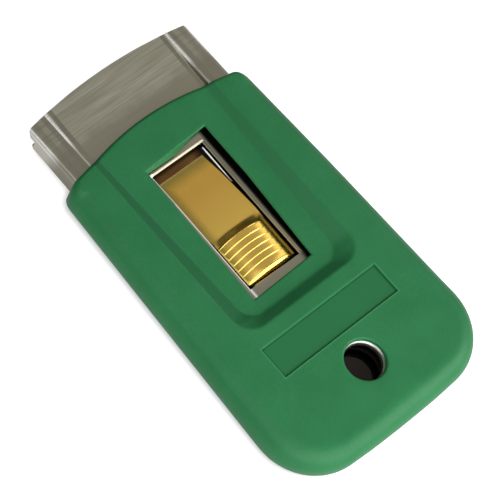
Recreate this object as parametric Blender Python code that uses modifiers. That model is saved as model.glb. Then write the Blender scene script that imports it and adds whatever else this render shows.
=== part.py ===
"""Retractable safety scraper: folded steel holder, moulded sleeve, sprung thumb slide and razor blade.

Frame: +Y forward to the mouth, +X across the width, +Z up, standing on the sleeve's flat underside.
The origin is midway along the tool, on the ground.
"""
import math

import bmesh
import bpy
from mathutils import Matrix, Vector

MM = 0.001

# Shared clearances and stock
FIT_GAP = 0.3 * MM
OVERRUN = 4.0 * MM
SHEET = 0.7 * MM
SLEEVE_SKIN = 1.1 * MM
CARRIER_THICKNESS = 0.6 * MM
LEAF_THICKNESS = 0.6 * MM

# Blade, and the folded strip on its back
BLADE_WIDTH = 38.1 * MM
BLADE_LENGTH = 18.9 * MM
BLADE_THICKNESS = 0.25 * MM
BLADE_SETBACK = 2.7 * MM
EDGE_BEVEL = 1.3 * MM
NOTCH_DEPTH = 1.2 * MM
NOTCH_LENGTH = 3.4 * MM
NOTCH_SETBACK = 3.0 * MM
SPINE_LENGTH = 4.4 * MM
SPINE_THICKNESS = 1.05 * MM
SPINE_GAP = 0.1 * MM

# Working strokes of the slide, from rest to scraping and to changing the blade
SCRAPE_STROKE = 9.5 * MM
CHANGE_STROKE = 17.0 * MM

# Widths
BLADE_SIDE_ROOM = 2.45 * MM
STRIP_WIDTH = 5.3 * MM
FLANGE_WIDTH = 9.5 * MM
SLEEVE_SIDE_COVER = 3.3 * MM
SLEEVE_FLARE = 3.5 * MM
WINDOW_WIDTH = 14.0 * MM
OPENING_SIDE_LAP = 1.25 * MM
RECESS_LAP = 0.5 * MM
PLATE_WIDTH = 31.8 * MM

# Stations along the tool, each from the one before it, from the mouth back
HEAD_REACH = 13.9 * MM
NOSE_LENGTH = 15.6 * MM
WINDOW_ROOM = 1.9 * MM
PAD_LENGTH = 11.7 * MM
OPENING_FRONT_LAP = 1.5 * MM
OPENING_REAR_LAP = 2.0 * MM
PANEL_TAIL = 6.8 * MM
CHANNEL_END_SLOPE = 1.3 * MM
RECESS_END_LAP = 1.1 * MM
RECESS_REAR_RUN = 2.5 * MM
PLATE_ROOM = 3.5 * MM
PLATE_LENGTH = 7.25 * MM
HOLE_FRONT_ROOM = 17.4 * MM
HOLE_END_ROOM = 6.9 * MM
SLEEVE_END_ROOM = 7.5 * MM

# Holder
MOUTH_BOW = 1.9 * MM
MOUTH_RAKE = 2.9 * MM
MOUTH_STEP = 0.9 * MM
NOSE_STEP = 1.4 * MM
TAIL_RISE = 1.6 * MM
FOLD_INSIDE_RADIUS = 0.15 * MM
CHANNEL_DRAFT_SHARE = 0.4
SIDE_SLOT_LOW = 1.4 * MM
SIDE_SLOT_HEIGHT = 1.6 * MM
SIDE_SLOT_DEPTH = 4.3 * MM
TAIL_FLOOR_LENGTH = 17.0 * MM
SEAM_WIDTH = 0.5 * MM
DETENT_RADIUS = 0.9 * MM
HOLE_RADIUS = 4.4 * MM
COLLAR_DEPTH = 1.9 * MM
COLLAR_FLARE = 0.6 * MM

# Sleeve
SLEEVE_REAR_BOW = 1.1 * MM
SLEEVE_REAR_CORNER = 12.5 * MM
SLEEVE_FRONT_CORNER = 4.0 * MM
SLEEVE_SIDE_ROUND = 3.9 * MM
SLEEVE_REAR_ROUND = 4.6 * MM
SLEEVE_LIP_ROUND = 0.8 * MM
RECESS_SKIN = 1.0 * MM
RECESS_AIR = 0.7 * MM
RECESS_SIDE_RUN_SHARE = 1.95
RECESS_TOP_CORNER = 5.3 * MM
RECESS_FLOOR_CORNER = 3.6 * MM
PLATE_DEPTH = 0.35 * MM

# Slide: carrier and thumb leaf
CARRIER_SETBACK = 6.7 * MM
CARRIER_TAIL = 0.5 * MM
RUNNER_HEIGHT = 2.0 * MM
RUNNER_LENGTH = 36.0 * MM
PEG_WIDTH = 0.6 * MM
PEG_HEIGHT = 2.6 * MM
LEAF_INSET = 2.0 * MM
LEAF_FRONT_WIDTH = 11.8 * MM
LEAF_SIDE_GAP = 0.5 * MM
LEAF_HINGE_INSET = 1.1 * MM
WELD_LENGTH = 8.0 * MM
RELIEF_SIDE_GAP = 0.9 * MM
RISER_RUN = 2.0 * MM
PAD_SIDE_GAP = 0.7 * MM
PAD_EDGE_RISE = 0.3 * MM
PAD_CROWN_RISE = 1.3 * MM
PAD_BOW = 0.35 * MM
PAD_END_RUN = 0.5 * MM
RIB_COUNT = 7
RIB_WIDTH = 0.6 * MM
RIB_HEIGHT = 0.2 * MM
TAIL_WIDTH = 10.0 * MM
TAIL_LENGTH = 5.3 * MM
EAR_WIDTH = 23.2 * MM
EAR_LENGTH = 3.0 * MM
EAR_SHOULDER = 0.2 * MM
NIB_INSET = 1.2 * MM
NIB_HEIGHT = 0.3 * MM
NIB_RADIUS = 0.7 * MM

# Facet counts and the angle over which an edge stays sharp
ARC_STEPS = 6
BOW_STEPS = 14
CORNER_STEPS = 10
ROUND_SIDES = 40
LEAF_COLUMNS = 12
END_STEPS = 4
SHARP_ANGLE = math.radians(40)

# Widths worked out from the blade outward
HEAD_WIDTH = BLADE_WIDTH + 2 * BLADE_SIDE_ROOM
CHANNEL_WIDTH = HEAD_WIDTH - 2 * STRIP_WIDTH
CARRIER_WIDTH = HEAD_WIDTH - 2 * SHEET - 2 * FIT_GAP
SLEEVE_FRONT_WIDTH = HEAD_WIDTH + 2 * SLEEVE_SIDE_COVER
SLEEVE_REAR_WIDTH = SLEEVE_FRONT_WIDTH + 2 * SLEEVE_FLARE
RECESS_TOP_WIDTH = CHANNEL_WIDTH + 2 * RECESS_LAP
OPENING_WIDTH = WINDOW_WIDTH + 2 * OPENING_SIDE_LAP
LEAF_REAR_WIDTH = WINDOW_WIDTH - 2 * LEAF_SIDE_GAP
PAD_WIDTH = WINDOW_WIDTH - 2 * PAD_SIDE_GAP
DETENT_SPACING = EAR_WIDTH - 2 * NIB_INSET
COLLAR_RADIUS = HOLE_RADIUS - FIT_GAP
BOW_RADIUS = ((HEAD_WIDTH / 2) ** 2 + MOUTH_BOW ** 2) / (2 * MOUTH_BOW)

# Lengths worked out from the mouth back
SPINE_SETBACK = BLADE_SETBACK + BLADE_LENGTH + (SPINE_THICKNESS - BLADE_THICKNESS) / 2
WINDOW_SETBACK = SPINE_SETBACK + WINDOW_ROOM
WINDOW_LENGTH = CHANGE_STROKE + PAD_LENGTH + LEAF_THICKNESS + 3 * FIT_GAP
CHANNEL_LENGTH = WINDOW_SETBACK + WINDOW_LENGTH + PANEL_TAIL
HOLE_SETBACK = CHANNEL_LENGTH + CHANNEL_END_SLOPE + HOLE_FRONT_ROOM
HOLDER_LENGTH = HOLE_SETBACK + HOLE_END_ROOM
OVERALL_LENGTH = HOLDER_LENGTH + SLEEVE_END_ROOM
SLEEVE_LENGTH = OVERALL_LENGTH - HEAD_REACH
RECESS_SETBACK = CHANNEL_LENGTH + RECESS_END_LAP
PLATE_SETBACK = RECESS_SETBACK + PLATE_ROOM

# Heights of the folded holder over its own underside, and the outside radius of its folds
PANEL_HEIGHT = 2 * SHEET + CARRIER_THICKNESS + LEAF_THICKNESS + NIB_HEIGHT + 3 * FIT_GAP
MOUTH_HEIGHT = PANEL_HEIGHT + MOUTH_STEP
NOSE_HEIGHT = PANEL_HEIGHT + NOSE_STEP
TAIL_HEIGHT = NOSE_HEIGHT + TAIL_RISE
FOLD_RADIUS = SHEET + FOLD_INSIDE_RADIUS

# Places in the frame
FRONT_Y = OVERALL_LENGTH / 2
REAR_Y = -OVERALL_LENGTH / 2
NOSE_Y = FRONT_Y - NOSE_LENGTH
HOLDER_REAR_Y = FRONT_Y - HOLDER_LENGTH
WINDOW_FRONT_Y = FRONT_Y - WINDOW_SETBACK
WINDOW_REAR_Y = WINDOW_FRONT_Y - WINDOW_LENGTH
HOLE_Y = FRONT_Y - HOLE_SETBACK
BLADE_EDGE_Y = FRONT_Y - BLADE_SETBACK
BLADE_BACK_Y = BLADE_EDGE_Y - BLADE_LENGTH
SPINE_BACK_Y = FRONT_Y - SPINE_SETBACK
SPINE_FRONT_Y = SPINE_BACK_Y + SPINE_LENGTH
NOTCH_Y = SPINE_FRONT_Y + NOTCH_SETBACK
PAD_FRONT_Y = WINDOW_FRONT_Y - CHANGE_STROKE - 2 * FIT_GAP
PAD_REAR_Y = PAD_FRONT_Y - PAD_LENGTH
LEAF_FRONT_Y = WINDOW_FRONT_Y - LEAF_INSET
LEAF_REAR_Y = PAD_REAR_Y - TAIL_LENGTH
HINGE_Y = LEAF_FRONT_Y - LEAF_HINGE_INSET
CARRIER_FRONT_Y = FRONT_Y - CARRIER_SETBACK
CARRIER_REAR_Y = LEAF_REAR_Y - CARRIER_TAIL
HOLDER_FLOOR_Z = SLEEVE_SKIN + FIT_GAP
CARRIER_Z = HOLDER_FLOOR_Z + SHEET + FIT_GAP
CARRIER_TOP_Z = CARRIER_Z + CARRIER_THICKNESS
LEAF_Z = CARRIER_TOP_Z + FIT_GAP
BLADE_Z = CARRIER_TOP_Z + FIT_GAP
PANEL_Z = HOLDER_FLOOR_Z + PANEL_HEIGHT
MOUTH_Z = HOLDER_FLOOR_Z + MOUTH_HEIGHT
RECESS_FLOOR_Z = PANEL_Z + RECESS_AIR + RECESS_SKIN


def clear_scene():
    for item in list(bpy.data.objects):
        bpy.data.objects.remove(item, do_unlink=True)


def collection(name):
    group = bpy.data.collections.new(name)
    bpy.context.scene.collection.children.link(group)
    return group


def material(name, colour, roughness, metallic):
    made = bpy.data.materials.new(name)
    made.use_nodes = True
    shader = made.node_tree.nodes["Principled BSDF"]
    shader.inputs["Base Color"].default_value = (*colour, 1.0)
    shader.inputs["Roughness"].default_value = roughness
    shader.inputs["Metallic"].default_value = metallic
    return made


def add_part(name, bm, finish):
    """Put a finished mesh in the part's collection, smooth on its round faces."""
    part = add_mesh(name, bm, PARTS)
    part.data.materials.append(finish)
    part.data.shade_smooth()
    part.data.set_sharp_from_angle(angle=SHARP_ANGLE)
    return part


def add_cutter(name, bm):
    cutter = add_mesh(name, bm, CUTTERS)
    cutter.hide_render = True
    cutter.display_type = "WIRE"
    return cutter


def add_mesh(name, bm, group):
    mesh = bpy.data.meshes.new(name)
    bm.to_mesh(mesh)
    bm.free()
    item = bpy.data.objects.new(name, mesh)
    group.objects.link(item)
    return item


def combine(target, other, operation="DIFFERENCE"):
    step = target.modifiers.new(other.name, "BOOLEAN")
    step.operation = operation
    step.solver = "EXACT"
    step.object = other


def box(x_low, x_high, y_low, y_high, z_low, z_high):
    bm = bmesh.new()
    bmesh.ops.create_cube(bm, size=1.0)
    size = Vector((x_high - x_low, y_high - y_low, z_high - z_low))
    middle = Vector((x_low + x_high, y_low + y_high, z_low + z_high)) / 2
    placed = Matrix.Translation(middle) @ Matrix.Diagonal(size).to_4x4()
    bmesh.ops.transform(bm, matrix=placed, verts=bm.verts)
    return bm


def middle_box(width, y_low, y_high, z_low, z_high):
    return box(-width / 2, width / 2, y_low, y_high, z_low, z_high)


def cylinder(radius, x, y, z_low, z_high, top_radius=None):
    bm = bmesh.new()
    bmesh.ops.create_cone(
        bm,
        cap_ends=True,
        segments=ROUND_SIDES,
        radius1=radius,
        radius2=radius if top_radius is None else top_radius,
        depth=z_high - z_low,
        matrix=Matrix.Translation((x, y, (z_low + z_high) / 2)),
    )
    return bm


def loft(rings):
    """Join matching rings of points into one closed body, capped at both ends."""
    bm = bmesh.new()
    loops = [[bm.verts.new(point) for point in ring] for ring in rings]
    for low, high in zip(loops, loops[1:]):
        for index in range(len(low)):
            after = (index + 1) % len(low)
            bm.faces.new((low[index], low[after], high[after], high[index]))
    bm.faces.new(list(reversed(loops[0])))
    bm.faces.new(loops[-1])
    bmesh.ops.recalc_face_normals(bm, faces=bm.faces)
    return bm


def arc(centre, radius, start, end, steps):
    angles = [start + (end - start) * step / steps for step in range(steps + 1)]
    return [Vector((centre[0] + radius * math.cos(a), centre[1] + radius * math.sin(a))) for a in angles]


def fillet(before, corner, after, radius, steps):
    """The arc that rounds one corner of a flat outline."""
    to_before = (before - corner).normalized()
    to_after = (after - corner).normalized()
    half = to_before.angle(to_after) / 2
    centre = corner + (to_before + to_after).normalized() * radius / math.sin(half)
    first = corner + to_before * radius / math.tan(half) - centre
    last = corner + to_after * radius / math.tan(half) - centre
    start = math.atan2(first.y, first.x)
    turn = first.angle_signed(last)
    return arc(centre, radius, start, start - turn, steps)


def rounded_outline(corners, steps):
    """A flat outline from (point, radius) pairs; a zero radius keeps the point."""
    points = []
    for index, (corner, radius) in enumerate(corners):
        if radius == 0:
            points.append(corner)
            continue
        before = corners[index - 1][0]
        after = corners[(index + 1) % len(corners)][0]
        points.extend(fillet(before, corner, after, radius, steps))
    return points


def bow_y(x, crown_y):
    """The mouth's curve, struck across the width with its crown at crown_y."""
    return crown_y - BOW_RADIUS + math.sqrt(BOW_RADIUS ** 2 - x ** 2)


def bow_points(half_width, crown_y):
    xs = [half_width - 2 * half_width * step / BOW_STEPS for step in range(BOW_STEPS + 1)]
    return [Vector((x, bow_y(x, crown_y))) for x in xs]


def strip_height(y):
    """Height of the holder's side strips over its underside."""
    if y > NOSE_Y:
        return NOSE_HEIGHT + (MOUTH_HEIGHT - NOSE_HEIGHT) * (y - NOSE_Y) / NOSE_LENGTH
    run = NOSE_Y - HOLDER_REAR_Y
    return NOSE_HEIGHT + (TAIL_HEIGHT - NOSE_HEIGHT) * (NOSE_Y - y) / run


def sleeve_top(y):
    slope = (TAIL_HEIGHT - NOSE_HEIGHT) / (NOSE_Y - HOLDER_REAR_Y)
    nose_top = HOLDER_FLOOR_Z + NOSE_HEIGHT + FIT_GAP + SLEEVE_SKIN
    return nose_top + slope * (NOSE_Y - y)


def section(half_width, z_low, z_high, radius, y):
    """A round-cornered cross-section of the folded sheet, standing at y."""
    low = z_low + radius
    high = z_high - radius
    side = half_width - radius
    quarter = math.pi / 2
    points = arc((side, low), radius, -quarter, 0, ARC_STEPS)
    points += arc((side, high), radius, 0, quarter, ARC_STEPS)
    points += arc((-side, high), radius, quarter, 2 * quarter, ARC_STEPS)
    points += arc((-side, low), radius, 2 * quarter, 3 * quarter, ARC_STEPS)
    return [Vector((p.x, y, p.y)) for p in points]


def folded_body(offset, front_y, rear_y):
    """The holder's outer body, grown by offset on every long side."""
    stations = [front_y, NOSE_Y, rear_y]
    rings = [
        section(
            HEAD_WIDTH / 2 + offset,
            HOLDER_FLOOR_Z - offset,
            HOLDER_FLOOR_Z + strip_height(y) + offset,
            FOLD_RADIUS + offset,
            y,
        )
        for y in stations
    ]
    return loft(rings)


def channel_ring(y, floor_z, half_width, top_z):
    """A section of the channel: a floor with drafted sides that run out above the strips."""
    drop = HOLDER_FLOOR_Z + strip_height(y) - floor_z
    low = half_width - CHANNEL_DRAFT_SHARE * drop
    high = half_width + CHANNEL_DRAFT_SHARE * (top_z - floor_z - drop)
    corners = ((low, floor_z), (high, top_z), (-high, top_z), (-low, floor_z))
    return [Vector((x, y, z)) for x, z in corners]


def channel_body(offset, mouth_z, panel_z):
    """The space of the pressed channel, shrunk by offset.

    Its floor drops from mouth_z to panel_z at the window, then runs level to a sloped rear end.
    """
    half_width = CHANNEL_WIDTH / 2 - offset
    top_z = HOLDER_FLOOR_Z + TAIL_HEIGHT + OVERRUN
    floor_rear_y = FRONT_Y - CHANNEL_LENGTH + offset
    top_rear_y = floor_rear_y - CHANNEL_END_SLOPE
    rings = []
    for y in (FRONT_Y + OVERRUN, NOSE_Y, WINDOW_FRONT_Y, floor_rear_y):
        forward_share = max(0.0, y - WINDOW_FRONT_Y) / WINDOW_SETBACK
        rings.append(channel_ring(y, panel_z + (mouth_z - panel_z) * forward_share, half_width, top_z))
    strip_z = HOLDER_FLOOR_Z + strip_height(top_rear_y)
    rise = (top_z - panel_z) / (strip_z - panel_z)
    last_y = floor_rear_y - CHANNEL_END_SLOPE * rise
    low, high = rings[-1][0], rings[-1][1]
    ends = ((low.x, top_z), (high.x, top_z + OVERRUN), (-high.x, top_z + OVERRUN), (-low.x, top_z))
    rings.append([Vector((x, last_y, z)) for x, z in ends])
    return loft(rings)


def mouth_trim():
    """Keeps what lies behind the bowed, raked mouth."""
    half_width = HEAD_WIDTH / 2 + OVERRUN
    low_z = HOLDER_FLOOR_Z - OVERRUN
    high_z = HOLDER_FLOOR_Z + TAIL_HEIGHT + OVERRUN
    rings = []
    for z in (low_z, high_z):
        lean = MOUTH_RAKE * (MOUTH_Z - z) / MOUTH_HEIGHT
        curve = bow_points(half_width, FRONT_Y - lean)
        tail = [Vector((-half_width, REAR_Y)), Vector((half_width, REAR_Y))]
        rings.append([Vector((p.x, p.y, z)) for p in curve + tail])
    return loft(rings)


def detent_places():
    xs = (-DETENT_SPACING / 2, DETENT_SPACING / 2)
    nib_y = LEAF_REAR_Y + EAR_LENGTH / 2
    strokes = (0, SCRAPE_STROKE, CHANGE_STROKE)
    return [(x, nib_y + stroke) for x in xs for stroke in strokes]


def make_holder():
    """One folded sheet: top panel with its channel, side walls, bottom flanges and hanging hole."""
    holder = add_part("blade_holder", folded_body(0, FRONT_Y + OVERRUN, HOLDER_REAR_Y), STEEL)
    combine(holder, add_cutter("holder_channel", channel_body(0, MOUTH_Z, PANEL_Z)))
    cavity = add_cutter("holder_cavity", folded_body(-SHEET, FRONT_Y + 2 * OVERRUN, HOLDER_REAR_Y - OVERRUN))
    under_channel = channel_body(-SHEET, MOUTH_Z - SHEET, PANEL_Z - SHEET)
    combine(cavity, add_cutter("holder_channel_underside", under_channel))
    combine(holder, cavity)
    combine(holder, add_cutter("holder_mouth", mouth_trim()), "INTERSECT")
    cut_holder_floor(holder)
    cut_holder_top(holder)
    cut_holder_hole(holder)
    return holder


def cut_holder_floor(holder):
    gap = HEAD_WIDTH - 2 * FLANGE_WIDTH
    low_z = HOLDER_FLOOR_Z - OVERRUN
    high_z = HOLDER_FLOOR_Z + SHEET + FIT_GAP
    floor_y = HOLDER_REAR_Y + TAIL_FLOOR_LENGTH
    combine(holder, add_cutter("flange_gap", middle_box(gap, floor_y, FRONT_Y + OVERRUN, low_z, high_z)))
    seam = middle_box(SEAM_WIDTH, HOLDER_REAR_Y - OVERRUN, floor_y + OVERRUN, low_z, high_z)
    combine(holder, add_cutter("flange_seam", seam))
    slot_low = HOLDER_FLOOR_Z + SIDE_SLOT_LOW
    slot_rear_y = FRONT_Y - SIDE_SLOT_DEPTH
    width = HEAD_WIDTH + 2 * OVERRUN
    slot = middle_box(width, slot_rear_y, FRONT_Y + OVERRUN, slot_low, slot_low + SIDE_SLOT_HEIGHT)
    combine(holder, add_cutter("side_slots", slot))


def cut_holder_top(holder):
    low_z = HOLDER_FLOOR_Z + SHEET + FIT_GAP
    high_z = HOLDER_FLOOR_Z + TAIL_HEIGHT + OVERRUN
    window = middle_box(WINDOW_WIDTH, WINDOW_REAR_Y, WINDOW_FRONT_Y, low_z, high_z)
    combine(holder, add_cutter("holder_window", window))
    for index, (x, y) in enumerate(detent_places()):
        combine(holder, add_cutter(f"detent_{index + 1}", cylinder(DETENT_RADIUS, x, y, low_z, high_z)))


def cut_holder_hole(holder):
    """The hanging hole: its edge is drawn down into a collar at the top and pierced through the floor."""
    top_z = HOLDER_FLOOR_Z + strip_height(HOLE_Y)
    collar_low = top_z - SHEET - COLLAR_DEPTH
    collar = cylinder(COLLAR_RADIUS + SHEET, 0, HOLE_Y, collar_low, top_z - SHEET / 2)
    combine(holder, add_cutter("hole_collar", collar), "UNION")
    bore = cylinder(COLLAR_RADIUS, 0, HOLE_Y, HOLDER_FLOOR_Z - OVERRUN, top_z + OVERRUN)
    combine(holder, add_cutter("hole_bore", bore))
    flare_high = top_z + COLLAR_FLARE
    flare_low = top_z - 2 * COLLAR_FLARE
    wide = COLLAR_RADIUS + 2 * COLLAR_FLARE
    flare = cylinder(COLLAR_RADIUS - COLLAR_FLARE, 0, HOLE_Y, flare_low, flare_high, wide)
    combine(holder, add_cutter("hole_flare", flare))


def sleeve_outline():
    """Plan of the sleeve: bowed front, tapered sides, wide rear corners and a slightly bowed end."""
    crown_y = REAR_Y + SLEEVE_LENGTH
    front_half = SLEEVE_FRONT_WIDTH / 2
    rear_half = SLEEVE_REAR_WIDTH / 2
    rear_y = REAR_Y + SLEEVE_REAR_BOW
    front_y = bow_y(front_half, crown_y)
    corners = [(point, 0) for point in bow_points(front_half - 2 * SLEEVE_FRONT_CORNER, crown_y)]
    corners.append((Vector((-front_half, front_y)), SLEEVE_FRONT_CORNER))
    corners.append((Vector((-rear_half, rear_y)), SLEEVE_REAR_CORNER))
    corners.append((Vector((0, REAR_Y)), 0))
    corners.append((Vector((rear_half, rear_y)), SLEEVE_REAR_CORNER))
    corners.append((Vector((front_half, front_y)), SLEEVE_FRONT_CORNER))
    return rounded_outline(corners, CORNER_STEPS)


def sleeve_body():
    """The sleeve's outer form: full-round sides and rear, and a small round on the front lip."""
    outline = sleeve_outline()
    count = len(outline)
    rims = []
    for index, point in enumerate(outline):
        along = outline[(index + 1) % count] - outline[index - 1]
        outward = Vector((along.y, -along.x)).normalized()
        if outward.dot(point) < 0:
            outward.negate()
        back_share = (SLEEVE_LENGTH + REAR_Y - point.y) / SLEEVE_LENGTH
        side_round = SLEEVE_SIDE_ROUND + (SLEEVE_REAR_ROUND - SLEEVE_SIDE_ROUND) * back_share
        forward = max(0.0, outward.y)
        rim_round = side_round + (SLEEVE_LIP_ROUND - side_round) * forward ** 2
        rims.append((point, outward, rim_round))
    rings = [sleeve_ring(rims, step, is_top=False) for step in range(ARC_STEPS + 1)]
    rings += [sleeve_ring(rims, step, is_top=True) for step in range(ARC_STEPS, -1, -1)]
    return loft(rings)


def sleeve_ring(rims, step, is_top):
    """One level of the edge rounding: step zero is the flat face, the last step the widest outline."""
    angle = math.pi / 2 * step / ARC_STEPS
    ring = []
    for point, outward, rim_round in rims:
        place = point - outward * rim_round * (1 - math.sin(angle))
        depth = rim_round * (1 - math.cos(angle))
        z = sleeve_top(place.y) - depth if is_top else depth
        ring.append(Vector((place.x, place.y, z)))
    return ring


def recess_body():
    """The sleeve's sunk channel: drafted sides that deepen to the rear, and a round-cornered rear wall."""
    front_y = REAR_Y + SLEEVE_LENGTH + OVERRUN
    rear_y = FRONT_Y - RECESS_SETBACK
    top_half = RECESS_TOP_WIDTH / 2
    floor_rear_y = rear_y + RECESS_REAR_RUN
    top = recess_outline(front_y, rear_y, top_half, top_half, RECESS_TOP_CORNER)
    front_half = recess_floor_half(front_y)
    rear_half = recess_floor_half(floor_rear_y)
    floor = recess_outline(front_y, floor_rear_y, front_half, rear_half, RECESS_FLOOR_CORNER)
    low_ring = [Vector((p.x, p.y, RECESS_FLOOR_Z)) for p in floor]
    high_ring = [Vector((p.x, p.y, sleeve_top(p.y))) for p in top]
    out_ring = [high + (high - low) for low, high in zip(low_ring, high_ring)]
    return loft([low_ring, out_ring])


def recess_floor_half(y):
    """Half the width of the sunk channel's floor, narrower where its drafted sides are deeper."""
    return RECESS_TOP_WIDTH / 2 - RECESS_SIDE_RUN_SHARE * (sleeve_top(y) - RECESS_FLOOR_Z)


def recess_outline(front_y, rear_y, front_half, rear_half, radius):
    corners = [
        (Vector((front_half, front_y)), 0),
        (Vector((-front_half, front_y)), 0),
        (Vector((-rear_half, rear_y)), radius),
        (Vector((rear_half, rear_y)), radius),
    ]
    return rounded_outline(corners, CORNER_STEPS)


def sleeve_pocket():
    """The space that takes the holder, narrowed where the sleeve dips into the holder's channel."""
    pocket = add_cutter("sleeve_pocket", folded_body(FIT_GAP, FRONT_Y + OVERRUN, HOLDER_REAR_Y - FIT_GAP))
    dip_z = RECESS_FLOOR_Z - RECESS_SKIN
    combine(pocket, add_cutter("sleeve_dip", channel_body(2 * FIT_GAP, dip_z, dip_z)))
    return pocket


def make_sleeve():
    sleeve = add_part("grip_sleeve", sleeve_body(), PLASTIC)
    combine(sleeve, add_cutter("sleeve_recess", recess_body()))
    combine(sleeve, sleeve_pocket())
    opening_front_y = WINDOW_FRONT_Y + OPENING_FRONT_LAP
    opening_rear_y = WINDOW_REAR_Y - OPENING_REAR_LAP
    top_z = sleeve_top(REAR_Y) + OVERRUN
    opening = middle_box(OPENING_WIDTH, opening_rear_y, opening_front_y, PANEL_Z, top_z)
    combine(sleeve, add_cutter("sleeve_opening", opening))
    combine(sleeve, add_cutter("sleeve_hole", cylinder(HOLE_RADIUS, 0, HOLE_Y, -OVERRUN, top_z)))
    combine(sleeve, plate_recess())
    return sleeve


def plate_recess():
    """The shallow bare field behind the window, sunk square to the sleeve's sloped top."""
    middle_y = FRONT_Y - PLATE_SETBACK - PLATE_LENGTH / 2
    sunk = middle_box(PLATE_WIDTH, -PLATE_LENGTH / 2, PLATE_LENGTH / 2, -PLATE_DEPTH, OVERRUN)
    field = add_cutter("plate_recess", sunk)
    field.location = (0, middle_y, sleeve_top(middle_y))
    field.rotation_euler = (math.atan2(sleeve_top(PLATE_LENGTH) - sleeve_top(0), PLATE_LENGTH), 0, 0)
    return field


def make_carrier(slide):
    """The sliding plate: blade bed, side runners, locating pegs and a relief under the thumb pad."""
    plate = middle_box(CARRIER_WIDTH, CARRIER_REAR_Y, CARRIER_FRONT_Y, CARRIER_Z, CARRIER_TOP_Z)
    carrier = add_part("blade_carrier", plate, BRASS)
    join_runners(carrier)
    join_pegs(carrier)
    cut_spine_slot(carrier)
    cut_relief(carrier)
    seat_on(carrier, slide)
    return carrier


def join_runners(carrier):
    half = CARRIER_WIDTH / 2
    front_y = CARRIER_REAR_Y + RUNNER_LENGTH
    for side, direction in enumerate((-1, 1)):
        xs = sorted((direction * half, direction * (half - CARRIER_THICKNESS)))
        runner = box(*xs, CARRIER_REAR_Y, front_y, CARRIER_Z, CARRIER_Z + RUNNER_HEIGHT)
        combine(carrier, add_cutter(f"runner_{side + 1}", runner), "UNION")


def join_pegs(carrier):
    """Bent-up pegs that stand in the blade's side notches and carry it to and fro."""
    inner = BLADE_WIDTH / 2 - NOTCH_DEPTH + FIT_GAP
    half_length = NOTCH_LENGTH / 2 - FIT_GAP
    for side, direction in enumerate((-1, 1)):
        xs = sorted((direction * inner, direction * (inner + PEG_WIDTH)))
        peg = box(*xs, NOTCH_Y - half_length, NOTCH_Y + half_length, CARRIER_Z, CARRIER_Z + PEG_HEIGHT)
        combine(carrier, add_cutter(f"peg_{side + 1}", peg), "UNION")


def cut_spine_slot(carrier):
    width = BLADE_WIDTH + 2 * FIT_GAP
    low_z = CARRIER_Z - OVERRUN
    slot = middle_box(width, SPINE_BACK_Y - FIT_GAP, SPINE_FRONT_Y + FIT_GAP, low_z, CARRIER_TOP_Z + OVERRUN)
    combine(carrier, add_cutter("spine_slot", slot))


def cut_relief(carrier):
    """Room for the leaf, and wider for its ears, to be pressed down through the plate."""
    rear_y = CARRIER_REAR_Y - OVERRUN
    low_z = CARRIER_Z - OVERRUN
    high_z = CARRIER_TOP_Z + OVERRUN
    leaf_width = LEAF_REAR_WIDTH + 2 * RELIEF_SIDE_GAP
    relief = middle_box(leaf_width, rear_y, LEAF_FRONT_Y - WELD_LENGTH, low_z, high_z)
    combine(carrier, add_cutter("leaf_relief", relief))
    ear_front_y = LEAF_REAR_Y + EAR_LENGTH + EAR_SHOULDER + RELIEF_SIDE_GAP
    ears = middle_box(EAR_WIDTH + 2 * RELIEF_SIDE_GAP, rear_y, ear_front_y, low_z, high_z)
    combine(carrier, add_cutter("ear_relief", ears))


def leaf_rows():
    """Stations along the leaf as (y, half width, rise, crown, bow), front to rear."""
    pad_half = PAD_WIDTH / 2
    tail_half = TAIL_WIDTH / 2
    ear_half = EAR_WIDTH / 2
    rows = [(LEAF_FRONT_Y, LEAF_FRONT_WIDTH / 2, 0, 0, 0)]
    rows.append((PAD_FRONT_Y, LEAF_REAR_WIDTH / 2, PAD_EDGE_RISE, 0, 0))
    first_rib_y = PAD_FRONT_Y - RISER_RUN - RIB_WIDTH / 2
    last_rib_y = PAD_REAR_Y + PAD_END_RUN + RIB_WIDTH / 2
    for index in range(RIB_COUNT):
        rib_y = first_rib_y + (last_rib_y - first_rib_y) * index / (RIB_COUNT - 1)
        for offset, height in ((RIB_WIDTH / 2, 0), (0, RIB_HEIGHT), (-RIB_WIDTH / 2, 0)):
            rows.append((rib_y + offset, pad_half, PAD_EDGE_RISE + height, PAD_CROWN_RISE, PAD_BOW))
    for step in range(1, END_STEPS):
        turn = math.pi / 2 * step / END_STEPS
        y = PAD_REAR_Y + PAD_END_RUN * (1 - math.sin(turn))
        share = math.cos(turn)
        rows.append((y, pad_half, PAD_EDGE_RISE * share, PAD_CROWN_RISE * share, PAD_BOW * share))
    rows.append((PAD_REAR_Y, tail_half, 0, 0, 0))
    rows.append((LEAF_REAR_Y + EAR_LENGTH + EAR_SHOULDER, tail_half, 0, 0, 0))
    rows.append((LEAF_REAR_Y + EAR_LENGTH, ear_half, 0, 0, 0))
    rows.append((LEAF_REAR_Y, ear_half, 0, 0, 0))
    return rows


def leaf_sheet():
    """The leaf's underside as one pressed sheet: sloped front, riser, ribbed dome bowed forward, and tail."""
    rows = leaf_rows()
    bm = bmesh.new()
    bmesh.ops.create_grid(bm, x_segments=LEAF_COLUMNS, y_segments=len(rows) - 1, size=0.5)
    for vert in bm.verts:
        share = 2 * vert.co.x
        row = round((0.5 - vert.co.y) * (len(rows) - 1))
        y, half_width, rise, crown, bow = rows[row]
        dome = 1 - share ** 2
        vert.co = Vector((share * half_width, y - HINGE_Y + bow * dome, rise + crown * dome))
    return bm


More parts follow.
